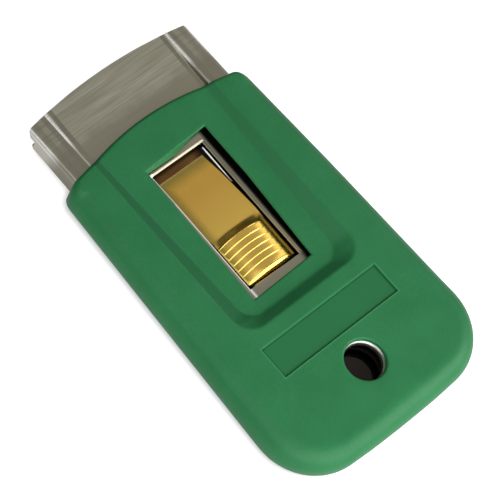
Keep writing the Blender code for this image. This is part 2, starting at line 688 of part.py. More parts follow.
def make_leaf(hinge):
    leaf = add_part("thumb_slide", leaf_sheet(), BRASS)
    thicken = leaf.modifiers.new("sheet", "SOLIDIFY")
    thicken.thickness = LEAF_THICKNESS
    thicken.offset = 1.0
    leaf.parent = hinge
    for index, direction in enumerate((-1, 1)):
        nib_y = LEAF_REAR_Y + EAR_LENGTH / 2 - HINGE_Y
        nib_top = LEAF_THICKNESS + NIB_HEIGHT
        nib = cylinder(NIB_RADIUS, direction * DETENT_SPACING / 2, nib_y, LEAF_THICKNESS / 2, nib_top)
        cutter = add_cutter(f"nib_{index + 1}", nib)
        cutter.parent = hinge
        combine(leaf, cutter, "UNION")
    return leaf


def side_profile(points, half_width):
    """An outline in Y and Z carried straight across the width."""
    rings = [[Vector((x, y, z)) for y, z in points] for x in (-half_width, half_width)]
    return loft(rings)


def make_blade(slide):
    """A single-edge blade: flat stock ground to an edge, with a notch in each side."""
    top_z = BLADE_Z + BLADE_THICKNESS
    ground_y = BLADE_EDGE_Y - EDGE_BEVEL
    profile = [
        (BLADE_BACK_Y, BLADE_Z),
        (ground_y, BLADE_Z),
        (BLADE_EDGE_Y, (BLADE_Z + top_z) / 2),
        (ground_y, top_z),
        (BLADE_BACK_Y, top_z),
    ]
    blade = add_part("razor_blade", side_profile(profile, BLADE_WIDTH / 2), STEEL)
    for side, direction in enumerate((-1, 1)):
        xs = sorted((direction * (BLADE_WIDTH / 2 - NOTCH_DEPTH), direction * (BLADE_WIDTH / 2 + OVERRUN)))
        ys = (NOTCH_Y - NOTCH_LENGTH / 2, NOTCH_Y + NOTCH_LENGTH / 2)
        combine(blade, add_cutter(f"notch_{side + 1}", box(*xs, *ys, BLADE_Z - OVERRUN, top_z + OVERRUN)))
    seat_on(blade, slide)
    return blade


def make_spine(slide):
    """The strip folded over the blade's back."""
    middle_z = BLADE_Z + BLADE_THICKNESS / 2
    z_low = middle_z - SPINE_THICKNESS / 2
    z_high = middle_z + SPINE_THICKNESS / 2
    slot = BLADE_THICKNESS / 2 + SPINE_GAP
    floor_y = BLADE_BACK_Y - SPINE_GAP
    wall = SPINE_THICKNESS / 2
    back = arc((SPINE_BACK_Y + wall, middle_z), wall, math.pi * 1.5, math.pi / 2, 2 * ARC_STEPS)
    profile = [(p.x, p.y) for p in back]
    profile += [(SPINE_FRONT_Y, z_high), (SPINE_FRONT_Y, middle_z + slot), (floor_y, middle_z + slot)]
    profile += [(floor_y, middle_z - slot), (SPINE_FRONT_Y, middle_z - slot), (SPINE_FRONT_Y, z_low)]
    spine = add_part("blade_spine", side_profile(profile, BLADE_WIDTH / 2), DARK_STEEL)
    seat_on(spine, slide)
    return spine


def joint_empty(name, place, parent=None):
    empty = bpy.data.objects.new(name, None)
    empty.location = place
    empty.empty_display_size = OVERRUN
    empty.parent = parent
    PARTS.objects.link(empty)
    return empty


def seat_on(item, empty):
    """Parent a piece that is already drawn in place, keeping it there."""
    item.parent = empty
    item.matrix_parent_inverse = Matrix.Translation(-empty.location)


clear_scene()
PARTS = collection("safety_scraper")
CUTTERS = collection("cutters")
PLASTIC = material("sleeve_green", (0.035, 0.18, 0.07), 0.5, 0.0)
STEEL = material("nickel_steel", (0.45, 0.44, 0.4), 0.35, 1.0)
DARK_STEEL = material("spine_steel", (0.25, 0.25, 0.25), 0.45, 1.0)
BRASS = material("brass_plate", (0.72, 0.5, 0.17), 0.3, 1.0)

make_sleeve()
make_holder()
slide_axis = joint_empty("slide_axis", (0, 0, CARRIER_Z))
leaf_hinge = joint_empty("leaf_hinge", (0, HINGE_Y, LEAF_Z - CARRIER_Z), slide_axis)
make_carrier(slide_axis)
make_blade(slide_axis)
make_spine(slide_axis)
make_leaf(leaf_hinge)
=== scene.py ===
"""A retractable safety scraper, lying on a pale studio floor and seen from its left side."""

import math

import bmesh
import bpy
import numpy as np
from mathutils import Matrix, Vector, geometry, kdtree


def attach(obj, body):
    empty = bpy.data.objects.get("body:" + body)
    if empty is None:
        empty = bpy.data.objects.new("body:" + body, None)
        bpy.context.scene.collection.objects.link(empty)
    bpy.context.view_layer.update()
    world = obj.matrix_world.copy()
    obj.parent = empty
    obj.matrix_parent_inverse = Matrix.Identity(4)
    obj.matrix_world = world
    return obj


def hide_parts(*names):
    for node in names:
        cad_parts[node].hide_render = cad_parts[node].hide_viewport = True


MM = 0.001
QUARTER_TURN = math.pi / 2

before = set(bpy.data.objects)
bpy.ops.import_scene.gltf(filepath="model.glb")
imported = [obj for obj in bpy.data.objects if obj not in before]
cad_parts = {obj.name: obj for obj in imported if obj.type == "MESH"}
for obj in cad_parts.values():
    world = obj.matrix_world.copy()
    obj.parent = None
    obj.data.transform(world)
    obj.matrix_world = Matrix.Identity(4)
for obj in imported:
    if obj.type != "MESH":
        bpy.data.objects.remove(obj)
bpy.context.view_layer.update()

# The CAD part's sizes that the finer meshes share with it, in millimetres
FRONT_Y = 47.0
REAR_Y = -47.0
HEAD_HALF = 21.5
MOUTH_BOW = 1.9
BOW_RADIUS = (HEAD_HALF ** 2 + MOUTH_BOW ** 2) / (2 * MOUTH_BOW)
MOUTH_RAKE = 2.9
FLOOR_Z = 1.4
MOUTH_Z = 6.1
PANEL_Z = 5.2
NOSE_Y = 31.4
NOSE_Z = 6.6
TAIL_Y = -39.5
TAIL_Z = 8.2
SHEET = 0.7
FIT_GAP = 0.3
FOLD = 0.85
CHANNEL_HALF = 16.2
CHANNEL_DRAFT = 0.4
CHANNEL_REAR_Y = -13.9
CHANNEL_END_RUN = 1.3
WINDOW_HALF = 7.0
WINDOW_FRONT_Y = 23.1
WINDOW_REAR_Y = -7.1
HOLE_Y = -32.6
HOLE_RADIUS = 4.4
BORE_RADIUS = 4.1
FLANGE_HALF_GAP = 12.0
FLANGE_REAR_Y = -22.5
DETENT_X = 10.4
DETENT_YS = (-10.0, -0.5, 7.0)
DETENT_RADIUS = 0.9
SLOT_LOW_Z = 2.8
SLOT_HIGH_Z = 4.4
SLOT_REAR_Y = 42.7
SLEEVE_FRONT_Y = 33.1
SLEEVE_FRONT_HALF = 24.8
SLEEVE_REAR_HALF = 28.3
SLEEVE_REAR_BOW = 1.1
SLEEVE_NOSE_Z = 8.0
SLEEVE_SLOPE = (TAIL_Z - NOSE_Z) / (NOSE_Y - TAIL_Y)
RECESS_Z = 6.9
RECESS_DIP_Z = 5.9
RECESS_HALF = 16.7
RECESS_REAR_Y = -15.0
PLATE_HALF = 15.9
PLATE_FRONT_Y = -18.5
PLATE_REAR_Y = -25.75
PLATE_MIDDLE_Y = (PLATE_FRONT_Y + PLATE_REAR_Y) / 2
PLATE_HALF_RUN = (PLATE_FRONT_Y - PLATE_REAR_Y) / 2
PLATE_DEPTH = 0.35

# Cutting bodies reach this far past what they cut
OVERRUN = 4.0
# Cuts stay this far inside rows of points that already lie along their edges
CUT_CLEAR = 0.01
BORE_STEPS = 90
PIN_STEPS = 40
MERGE_REACH = 0.0005


# Plane curves and closed bodies, in millimetres


def clamp(value):
    return min(1, max(0, value))


def arc(centre, radius, start, end, steps):
    angles = np.linspace(start, end, steps + 1)
    return [Vector((centre[0] + radius * math.cos(a), centre[1] + radius * math.sin(a))) for a in angles]


def rounded_loop(corners, steps):
    """A closed outline from (x, y, radius) corners, with an arc where there is a radius."""
    points = []
    for index, (x, y, radius) in enumerate(corners):
        corner = Vector((x, y))
        if radius == 0:
            points.append(corner)
            continue
        before = (Vector(corners[index - 1][:2]) - corner).normalized()
        after = (Vector(corners[(index + 1) % len(corners)][:2]) - corner).normalized()
        half = before.angle(after) / 2
        centre = corner + (before + after).normalized() * radius / math.sin(half)
        first = corner + before * radius / math.tan(half) - centre
        last = corner + after * radius / math.tan(half) - centre
        start = math.atan2(first.y, first.x)
        points.extend(arc(centre, radius, start, start - first.angle_signed(last), steps))
    return points


def circle_loop(y, radius, count):
    """A circle about a place on the middle plane."""
    angles = np.linspace(0, math.tau, count, endpoint=False)
    return [Vector((radius * math.cos(a), y + radius * math.sin(a))) for a in angles]


def resample(points, count):
    """The same closed outline as evenly spaced points."""
    closed = np.array([tuple(p) for p in points] + [tuple(points[0])])
    steps = np.hypot(*np.diff(closed, axis=0).T)
    along = np.concatenate(([0], np.cumsum(steps)))
    places = np.linspace(0, along[-1], count, endpoint=False)
    return np.stack([np.interp(places, along, closed[:, axis]) for axis in (0, 1)], axis=1)


def divided(corners, count):
    """The outline with this many steps on each side."""
    points = []
    for index, corner in enumerate(corners):
        steps = np.linspace(corner, corners[(index + 1) % len(corners)], count, endpoint=False)
        points += [Vector(place) for place in steps]
    return points


def corner_distance(over_x, over_y):
    """Distance outside a square corner, from how far a place is past each side."""
    outside = np.hypot(np.maximum(over_x, 0), np.maximum(over_y, 0))
    return outside + np.minimum(np.maximum(over_x, over_y), 0)


def ramp(share, softness):
    """Rises from 0 to 1 over a share of 0 to 1, with round ends of this softness."""
    s = np.clip(share, -softness, 1 + softness)
    low = (s + softness) ** 2 / (4 * softness)
    high = 1 - (1 + softness - s) ** 2 / (4 * softness)
    return np.where(s < softness, low, np.where(s > 1 - softness, high, s))


def lip(distance, radius):
    """The drop of a rounded edge, at this distance from the cut."""
    inward = np.clip(radius - distance, 0, radius)
    return radius - np.sqrt(radius ** 2 - inward ** 2)


def make_object(name, points, faces):
    """A mesh object from points in millimetres, with its faces turned outward."""
    mesh = bpy.data.meshes.new(name)
    mesh.from_pydata((np.array(points, dtype=float) * MM).tolist(), [], faces)
    bm = bmesh.new()
    bm.from_mesh(mesh)
    bmesh.ops.remove_doubles(bm, verts=bm.verts, dist=MERGE_REACH * MM)
    bmesh.ops.recalc_face_normals(bm, faces=bm.faces)
    bm.to_mesh(mesh)
    bm.free()
    return new_object(name, mesh)


def new_object(name, data):
    """An object in the scene for a mesh, lamp or camera."""
    item = bpy.data.objects.new(name, data)
    bpy.context.scene.collection.objects.link(item)
    return item


def strip_faces(rows, columns, closed_columns=False, closed_rows=False):
    """Quads over a grid of points stored row by row."""
    faces = []
    for row in range(rows if closed_rows else rows - 1):
        below = row * columns
        above = (row + 1) % rows * columns
        for column in range(columns if closed_columns else columns - 1):
            after = (column + 1) % columns
            faces.append((below + column, below + after, above + after, above + column))
    return faces


def loft(name, rings):
    """Matching rings of points joined into one closed body."""
    count = len(rings[0])
    points = [tuple(point) for ring in rings for point in ring]
    faces = strip_faces(len(rings), count, closed_columns=True)
    faces.append(tuple(reversed(range(count))))
    faces.append(tuple(range(len(points) - count, len(points))))
    return make_object(name, points, faces)


def make_sheet(name, outer, inner):
    """A sheet as one closed body, from the rows of points of its two faces."""
    rows, columns = len(outer), len(outer[0])
    under = rows * columns
    faces = strip_faces(rows, columns)
    faces += [tuple(under + i for i in reversed(face)) for face in strip_faces(rows, columns)]
    edges = [(row + i, row + i + 1) for row in (0, under - columns) for i in range(columns - 1)]
    for column in (0, columns - 1):
        edges += [(i, i + columns) for i in range(column, under - columns, columns)]
    faces += [(i, after, under + after, under + i) for i, after in edges]
    return make_object(name, [p for row in outer + inner for p in row], faces)


def prism(name, loop, low_z, high_z):
    return loft(name, [[(x, y, z) for x, y in loop] for z in (low_z, high_z)])


def block(name, x_low, x_high, y_low, y_high, z_low, z_high):
    return prism(name, [(x_high, y_low), (x_high, y_high), (x_low, y_high), (x_low, y_low)], z_low, z_high)


def middle_block(name, half, y_low, y_high, z_low, z_high):
    """A block about the middle plane."""
    return block(name, -half, half, y_low, y_high, z_low, z_high)


def pin(name, x, y, radius, z_low, z_high):
    """A small upright round body."""
    return prism(name, [(x + p.x, p.y) for p in circle_loop(y, radius, PIN_STEPS)], z_low, z_high)


def combine(target, tool, operation="DIFFERENCE"):
    """Cut or join the tool, then take its object away."""
    step = target.modifiers.new("combine", "BOOLEAN")
    step.operation = operation
    step.solver = "MANIFOLD"
    step.object = tool
    apply_modifiers(target)
    bpy.data.objects.remove(tool)


def apply_modifiers(item):
    bpy.context.view_layer.update()
    ready = item.evaluated_get(bpy.context.evaluated_depsgraph_get())
    mesh = bpy.data.meshes.new_from_object(ready)
    item.modifiers.clear()
    item.data = mesh


def bow_y(x, crown_y):
    """The mouth's curve across the width, with its crown at crown_y."""
    return crown_y - BOW_RADIUS + math.sqrt(BOW_RADIUS ** 2 - x ** 2)


def strip_z(y):
    """Height of the holder's side strips."""
    if y > NOSE_Y:
        return NOSE_Z + (MOUTH_Z - NOSE_Z) * (y - NOSE_Y) / (FRONT_Y - NOSE_Y)
    return NOSE_Z + (TAIL_Z - NOSE_Z) * (NOSE_Y - y) / (NOSE_Y - TAIL_Y)


def panel_z(y):
    """Height of the pressed middle panel, level from the window back."""
    forward = max(y - WINDOW_FRONT_Y, 0)
    return PANEL_Z + (MOUTH_Z - PANEL_Z) * forward / (FRONT_Y - WINDOW_FRONT_Y)


# Sleeve

SIDE_ROUND = 3.9
REAR_ROUND = 4.6
LIP_ROUND = 0.8
RIM_STEPS = 12
OUTLINE_COUNT = 400
FRONT_CORNER = 4.0
REAR_CORNER = 13.4
# The front and rear edges' bowed stretches between those corners
FRONT_BOW_HALF = SLEEVE_FRONT_HALF - 2 * FRONT_CORNER
REAR_BOW_HALF = SLEEVE_REAR_HALF - 1.4 * REAR_CORNER
FRONT_STEPS = 40
REAR_STEPS = 24
CORNER_STEPS = 24
POCKET_CORNER_STEPS = 8
# The moulded outline's departures from the CAD part's: a fuller front edge and narrower sides
FRONT_BULGE = 0.75
FRONT_BULGE_HALF = 14.5
FRONT_BULGE_LEAST = -0.3
FRONT_BULGE_REAR_Y = 25
RIGHT_WAIST_SHARE = 0.022
LEFT_WAIST_SHARE = 0.009
WAIST_FRONT_Y = 12
WAIST_RUN = 40
WAIST_LEAST = 0.2
WALL_RUN_SHARE = 1.95
WALL_REAR_RUN = 2.5
WALL_CORNER = 5.3
WALL_CORNER_LOSS = 1.7
WALL_SOFTNESS = 0.11
WALL_HALVINGS = 22
OPENING_LIP = 0.45
# The opening's corners at its upper edge and at the sleeve's underside, moulded slightly out of square
OPENING_UPPER = ((8.85, 25.1), (-0.5, 24.65), (-8.05, 24.2), (-8.5, -9.35), (7.85, -8.9), (8.9, 12))
OPENING_LOWER = ((9.7, 25.8), (-0.5, 23.85), (-8.05, 23.9), (-8.5, -9.5), (8.4, -9.0), (9.8, 12))
OPENING_STEPS = 40
HOLE_LIP = 0.5
PLATE_DRAFT = 0.12
LIP_SHARES = (0, 0.04, 0.14, 0.3, 0.5, 0.74, 1)
# The top face's scattered places, in millimetres, with margins as shares of their spacing
FINE_GRID = 0.27
COARSE_GRID = 1.3
GRID_HALF = 26
GRID_REAR_Y = -44
GRID_FRONT_Y = 33
GRID_WALL_MARGIN = 0.1
CUT_MARGIN = 0.4
EDGE_MARGIN = 0.5
# The triangulation keeps what lies inside the edge, and takes closer places as one
INSIDE_EDGE = 1
SAME_PLACE = 1e-5
UNDER_SLEEVE_Z = -1


def sleeve_plane(y):
    return SLEEVE_NOSE_Z + SLEEVE_SLOPE * (NOSE_Y - y)


def wall_share(x, y):
    """How far down the recess's drafted wall a place lies: 0 at its rim, 1 at its floor."""
    depth = sleeve_plane(y) - RECESS_Z
    low = np.full(x.shape, -1.0)
    high = np.full(x.shape, 2.0)
    for _ in range(WALL_HALVINGS):
        share = (low + high) / 2
        corner = WALL_CORNER - WALL_CORNER_LOSS * share
        over_x = np.abs(x) - (RECESS_HALF - WALL_RUN_SHARE * depth * share - corner)
        over_y = RECESS_REAR_Y + WALL_REAR_RUN * share + corner - y
        inside = corner_distance(over_x, over_y) < corner
        low = np.where(inside, share, low)
        high = np.where(inside, high, share)
    return (low + high) / 2


def edge_lines(corners):
    """The outward normal and offset of each side of a counter-clockwise outline."""
    lines = []
    for index, corner in enumerate(corners):
        after = corners[(index + 1) % len(corners)]
        normal = Vector((after[1] - corner[1], corner[0] - after[0])).normalized()
        lines.append((normal, normal.dot(corner)))
    return lines


def grow_outline(corners, amount):
    """The outline with each side moved outward."""
    lines = edge_lines(corners)
    grown = []
    for (before, before_offset), (after, after_offset) in zip([lines[-1]] + lines[:-1], lines):
        sides = np.array([before, after])
        grown.append(np.linalg.solve(sides, [before_offset + amount, after_offset + amount]))
    return grown


def opening_distance(x, y):
    return np.max([n.x * x + n.y * y - offset for n, offset in edge_lines(OPENING_UPPER)], axis=0)


def plate_distance(x, y):
    return corner_distance(np.abs(x) - PLATE_HALF, np.abs(y - PLATE_MIDDLE_Y) - PLATE_HALF_RUN)


def sleeve_height(x, y):
    """Height of the sleeve's top face, with its recess, sunk plate and rounded cut edges."""
    plane = sleeve_plane(y)
    height = plane - (plane - RECESS_Z) * ramp(wall_share(x, y), WALL_SOFTNESS)
    height -= lip(opening_distance(x, y), OPENING_LIP)
    height -= lip(np.hypot(x, y - HOLE_Y) - HOLE_RADIUS, HOLE_LIP)
    return height - PLATE_DEPTH * np.clip(-plate_distance(x, y) / PLATE_DRAFT, 0, 1)


def settle_outline(outline):
    """The outline with its fuller front edge and its narrower sides."""
    x, y = outline.T
    rear_share = np.clip((WAIST_FRONT_Y - y) / WAIST_RUN, WAIST_LEAST, 1)
    right = 1 - RIGHT_WAIST_SHARE * rear_share
    crown = np.clip(1 - (x / FRONT_BULGE_HALF) ** 2, FRONT_BULGE_LEAST, 1)
    bulge = FRONT_BULGE * crown * (y > FRONT_BULGE_REAR_Y)
    return np.column_stack([x * np.where(x > 0, right, 1 - LEFT_WAIST_SHARE), y + bulge])


def sleeve_corners():
    """The plan outline's corners as (x, y, radius), with its bowed edges in short steps."""
    front_y = bow_y(SLEEVE_FRONT_HALF, SLEEVE_FRONT_Y)
    rear_y = REAR_Y + SLEEVE_REAR_BOW
    rear_radius = (SLEEVE_REAR_HALF ** 2 + SLEEVE_REAR_BOW ** 2) / (2 * SLEEVE_REAR_BOW)
    front_xs = np.linspace(FRONT_BOW_HALF, -FRONT_BOW_HALF, FRONT_STEPS)
    corners = [(x, bow_y(x, SLEEVE_FRONT_Y), 0) for x in front_xs]
    corners += [(-SLEEVE_FRONT_HALF, front_y, FRONT_CORNER), (-SLEEVE_REAR_HALF, rear_y, REAR_CORNER)]
    for x in np.linspace(-REAR_BOW_HALF, REAR_BOW_HALF, REAR_STEPS):
        corners.append((x, REAR_Y + rear_radius - math.sqrt(rear_radius ** 2 - x ** 2), 0))
    return corners + [(SLEEVE_REAR_HALF, rear_y, REAR_CORNER), (SLEEVE_FRONT_HALF, front_y, FRONT_CORNER)]


def sleeve_outline():
    """Plan outline with its outward directions and edge rounding."""
    outline = settle_outline(resample(rounded_loop(sleeve_corners(), CORNER_STEPS), OUTLINE_COUNT))
    along = np.roll(outline, -1, axis=0) - np.roll(outline, 1, axis=0)
    outward = np.stack([along[:, 1], -along[:, 0]], axis=1)
    outward /= np.linalg.norm(outward, axis=1)[:, None]
    outward *= np.sign((outward * outline).sum(axis=1))[:, None]
    back_share = (SLEEVE_FRONT_Y - outline[:, 1]) / (SLEEVE_FRONT_Y - REAR_Y)
    side_round = SIDE_ROUND + (REAR_ROUND - SIDE_ROUND) * back_share
    forward = np.maximum(outward[:, 1], 0)
    return outline, outward, side_round + (LIP_ROUND - side_round) * forward ** 2


def rim_rings(outline, outward, rounding):
    """The rounded rim from the top face's edge down to the underside's edge."""
    rings = []
    turns = [QUARTER_TURN * step / RIM_STEPS for step in range(RIM_STEPS + 1)]
    for turn, is_top in [(turn, True) for turn in turns] + [(turn, False) for turn in reversed(turns)]:
        place = outline - outward * (rounding * (1 - math.sin(turn)))[:, None]
        depth = rounding * (1 - math.cos(turn))
        z = sleeve_height(place[:, 0], place[:, 1]) - depth if is_top else depth
        rings.append(np.column_stack([place, z]))
    return rings


def top_grid(edge):
    """Scattered places over the top face: close together on the recess's wall, wide apart on flats."""
    found = []
    near = kdtree.KDTree(len(edge))
    for index, (x, y) in enumerate(edge):
        near.insert((x, y, 0), index)
    near.balance()
    wall_margin = WALL_SOFTNESS + GRID_WALL_MARGIN
    for spacing, is_fine in ((FINE_GRID, True), (COARSE_GRID, False)):
        xs = np.arange(-GRID_HALF, GRID_HALF + spacing / 2, spacing)
        ys = np.arange(GRID_REAR_Y, GRID_FRONT_Y, spacing)
        x, y = (grid.ravel() for grid in np.meshgrid(xs, ys))
        share = wall_share(x, y)
        on_wall = (share > -wall_margin) & (share < 1 + wall_margin)
        keep = on_wall if is_fine else ~on_wall
        margin = spacing * CUT_MARGIN
        keep &= opening_distance(x, y) > OPENING_LIP + margin
        keep &= np.hypot(x, y - HOLE_Y) > HOLE_RADIUS + HOLE_LIP + margin
        keep &= np.abs(plate_distance(x, y)) > margin
        for px, py in zip(x[keep], y[keep]):
            _, index, distance = near.find((px, py, 0))
            toward_edge = edge[index] - Vector((px, py))
            if distance > spacing * EDGE_MARGIN and inside_edge(edge, index, toward_edge):
                found.append(Vector((px, py)))
    return found


def inside_edge(edge, index, toward_edge):
    """Whether a place lies inside the edge, which runs counter-clockwise, from its nearest point."""
    along = edge[(index + 1) % len(edge)] - edge[index - 1]
    return along.y * toward_edge.x > along.x * toward_edge.y


def top_loops():
    """Outlines round the opening, the hole and the plate, for each step of their edges."""
    loops = []
    for share in LIP_SHARES:
        loops.append(divided(grow_outline(OPENING_UPPER, OPENING_LIP * share), OPENING_STEPS))
    loops += [circle_loop(HOLE_Y, HOLE_RADIUS + HOLE_LIP * share, BORE_STEPS) for share in LIP_SHARES]
    for inset in (0, PLATE_DRAFT):
        half, low, high = PLATE_HALF - inset, PLATE_REAR_Y + inset, PLATE_FRONT_Y - inset
        loops.append([Vector(p) for p in ((half, high), (-half, high), (-half, low), (half, low))])
    return loops


def sleeve_top(edge):
    """Triangles of the top face inside its edge, lifted to their heights."""
    places = []
    links = []
    edge = [Vector(p) for p in edge]
    for loop in [edge] + top_loops():
        start = len(places)
        places += loop
        links += [(start + i, start + (i + 1) % len(loop)) for i in range(len(loop))]
    places += top_grid(edge)
    verts, _, faces, *_ = geometry.delaunay_2d_cdt(places, links, [], INSIDE_EDGE, SAME_PLACE)
    x = np.array([v.x for v in verts])
    y = np.array([v.y for v in verts])
    return np.column_stack([x, y, sleeve_height(x, y)]), faces


def folded_section(offset, y):
    """The holder's round-cornered outline at y, grown by offset."""
    half = HEAD_HALF + offset
    low, high, radius = FLOOR_Z - offset, strip_z(y) + offset, FOLD + offset
    corners = [(x, z, radius) for x, z in ((half, low), (half, high), (-half, high), (-half, low))]
    return [(x, y, z) for x, z in rounded_loop(corners, POCKET_CORNER_STEPS)]


def channel_ring(y, low, low_z, high, high_z):
    """A section of the channel's space, with its lower and upper half widths."""
    return [(low, y, low_z), (high, y, high_z), (-high, y, high_z), (-low, y, low_z)]


def channel_body(offset, floor_z):
    """The space of the pressed channel with a level floor, shrunk by offset."""
    half = CHANNEL_HALF - offset
    top_z = TAIL_Z + OVERRUN
    rings = []
    for y in (FRONT_Y + OVERRUN, NOSE_Y, WINDOW_FRONT_Y, CHANNEL_REAR_Y + offset):
        drop = strip_z(y) - floor_z
        low = half - CHANNEL_DRAFT * drop
        high = half + CHANNEL_DRAFT * (top_z - floor_z - drop)
        rings.append(channel_ring(y, low, floor_z, high, top_z))
    # The rear wall climbs on from the last of these places
    last_y = y - CHANNEL_END_RUN * (top_z - floor_z) / drop
    rings.append(channel_ring(last_y, low, top_z, high, top_z + OVERRUN))
    return loft("channel", rings)


def make_sleeve_skin():
    """The sleeve's outer skin with a flat underside, filled inside."""
    outline, outward, rounding = sleeve_outline()
    rings = rim_rings(outline, outward, rounding)
    points, top_faces = sleeve_top(rings[0][:, :2])
    start = len(points)
    rim_faces = strip_faces(len(rings), OUTLINE_COUNT, closed_columns=True)
    faces = [tuple(face) for face in top_faces]
    faces += [tuple(start + i for i in face) for face in rim_faces]
    last = start + (len(rings) - 1) * OUTLINE_COUNT
    faces.append(tuple(range(last, last + OUTLINE_COUNT)))
    return make_object("sleeve", np.concatenate([points, *rings]), faces)


def make_sleeve():
    sleeve = make_sleeve_skin()
    pocket_ys = (FRONT_Y + OVERRUN, NOSE_Y, TAIL_Y - FIT_GAP)
    pocket = loft("pocket", [folded_section(FIT_GAP, y) for y in pocket_ys])
    combine(pocket, channel_body(2 * FIT_GAP, RECESS_DIP_Z))
    combine(sleeve, pocket)
    levels = [(OPENING_LOWER, z) for z in (PANEL_Z, RECESS_DIP_Z)]
    levels += [(OPENING_UPPER, z) for z in (RECESS_Z - OPENING_LIP, TAIL_Z + OVERRUN)]
    rings = [[(x, y, z) for x, y in grow_outline(corners, -CUT_CLEAR)] for corners, z in levels]
    combine(sleeve, loft("opening", rings))
    hole = circle_loop(HOLE_Y, HOLE_RADIUS - CUT_CLEAR, BORE_STEPS)
    combine(sleeve, prism("hole", hole, UNDER_SLEEVE_Z, TAIL_Z + OVERRUN))
    return sleeve


# Holder

STEP_RUN = 0.42
STEP_SOFTNESS = 0.18
STEP_SHARES = np.linspace(-0.3, 1.3, 15)
TAIL_STEP_RUN_SHARE = 0.45
TAIL_STEP_RUN_LEAST = 0.2
HEAD_REACH_Y = 34.5
HEAD_REACH_RUN = 3
STRIP_STEP = 2
RIDGE_X = 0.34
RIDGE_HALF = 0.28
RIDGE_HEIGHT = 0.2
SEAM_HALF = 0.25
FLOOR_XS = (SEAM_HALF, 8, 14)
FOLD_STEPS = 9
PANEL_HALVES = (9.5, 8.05, 7.7, 7.5, 7.42, 7.34, 7.28, 7.14, 7.0, 3.5)
WINDOW_EDGE_STEPS = (0, 0.06, 0.2, 0.4, 0.48, 0.8)
WINDOW_EDGE_REACH = 0.2
# How far the window's worn edges drop, as (distance from the edge, drop)
FRONT_CHAMFER = ((0, 0.3), (0.06, 0.26), (0.4, 0.02), (0.48, 0))
SIDE_CHAMFER = ((0, 0.5), (0.28, 0.2), (0.34, 0.06), (0.42, 0.06), (0.5, 0))
# Rows of points across the holder: square ones, and in front of SQUARE_Y ones that bend towards the mouth
TAIL_ROWS = (TAIL_Y, -38, -36, -29, -20, CHANNEL_REAR_Y - CHANNEL_END_RUN, CHANNEL_REAR_Y)
WINDOW_REAR_ROWS = (WINDOW_REAR_Y - 0.3, WINDOW_REAR_Y - CUT_CLEAR, WINDOW_REAR_Y + CUT_CLEAR)
WINDOW_ROWS = (0, 8, 16, WINDOW_FRONT_Y - CUT_CLEAR)
HEAD_ROWS = (26, 28.5, NOSE_Y, 32.2)
SQUARE_Y = 33
BENT_ROWS = 15
COLLAR_SHOULDER = 0.9
COLLAR_STEPS = 12
COLLAR_DEPTH = 1.9
COLLAR_FLAT = 0.9
COLLAR_CUT = 0.8
# Cutting bodies past the head's outline, and the heights between which each cut is made
PAST_HEAD_HALF = 30
PAST_HEAD_Y = 50
WINDOW_CUT_ZS = (3, 7)
FLANGE_CUT_ZS = (0.5, FLOOR_Z + SHEET + 0.2)
DETENT_CUT_ZS = (3.5, 7)
BORE_CUT_ZS = (0.5, 4)
SHOULDER_CUT_ZS = (5, 10)


def wall_run(y, drop):
    """How far the channel's wall runs inward while it drops from the strip to the panel."""
    inside = clamp((HEAD_REACH_Y - y) / HEAD_REACH_RUN)
    return STEP_RUN + (max(TAIL_STEP_RUN_LEAST, TAIL_STEP_RUN_SHARE * drop) - STEP_RUN) * inside


def channel_floor_z(y):
    """The panel's height, rising to the strips behind the channel's rear end."""
    rear_share = clamp((CHANNEL_REAR_Y - y) / CHANNEL_END_RUN)
    return panel_z(y) + (strip_z(y) - panel_z(y)) * rear_share


def top_profile(y, inset):
    """Half the top of the folded sheet from the fold inward, inset by a sheet or nothing."""
    strip = strip_z(y)
    drop = strip - channel_floor_z(y)
    run = wall_run(y, drop)
    start = CHANNEL_HALF + inset * min(1, drop)
    top = strip - inset
    crest = RIDGE_HEIGHT * (inset == 0)
    ridge = start + RIDGE_X
    points = [(start + STRIP_STEP, top), (ridge + RIDGE_HALF, top), (ridge, top + crest)]
    for share in STEP_SHARES:
        points.append((start - run * share, top - drop * float(ramp(share, STEP_SOFTNESS))))
    points += [(half, top - drop) for half in PANEL_HALVES]
    return points


def half_section(y, inset):
    """Half the folded sheet's outline at y, from the seam under the floor round to the top's middle."""
    half = HEAD_HALF - inset
    low, high, radius = FLOOR_Z + inset, strip_z(y) - inset, FOLD - inset
    points = [(x, low) for x in FLOOR_XS]
    for z, start in ((low + radius, -QUARTER_TURN), (high - radius, 0)):
        fold = arc((half - radius, z), radius, start, start + QUARTER_TURN, FOLD_STEPS)
        points += [tuple(p) for p in fold]
    return points + top_profile(y, inset)


def mouth_y(x, z):
    """The bowed mouth, raked back towards its underside."""
    return bow_y(x, FRONT_Y - MOUTH_RAKE * (MOUTH_Z - z) / (MOUTH_Z - FLOOR_Z))


def holder_stations():
    """Places along the holder as (y, share of the way from the last square row to the bowed mouth)."""
    window_front_rows = [WINDOW_FRONT_Y + step for step in WINDOW_EDGE_STEPS]
    square = [*TAIL_ROWS, *WINDOW_REAR_ROWS, *WINDOW_ROWS, *window_front_rows, *HEAD_ROWS]
    bent = np.linspace(SQUARE_Y, FRONT_Y, BENT_ROWS)
    return [(y, 0) for y in square] + [(y, (y - SQUARE_Y) / (FRONT_Y - SQUARE_Y)) for y in bent]


def holder_ring(y, mouth_share, inset):
    """One closed row of the sheet's outer or inner face, from seam to seam."""
    half = half_section(y, inset)
    ring = []
    for x, z in half + [(0, half[-1][1])] + [(-x, z) for x, z in reversed(half)]:
        place_y = y + mouth_share * (mouth_y(x, z) - FRONT_Y)
        if inset == 0 and z > PANEL_Z - 1:
            z -= window_edge_drop(x, place_y)
        ring.append((x, place_y, z))
    return ring


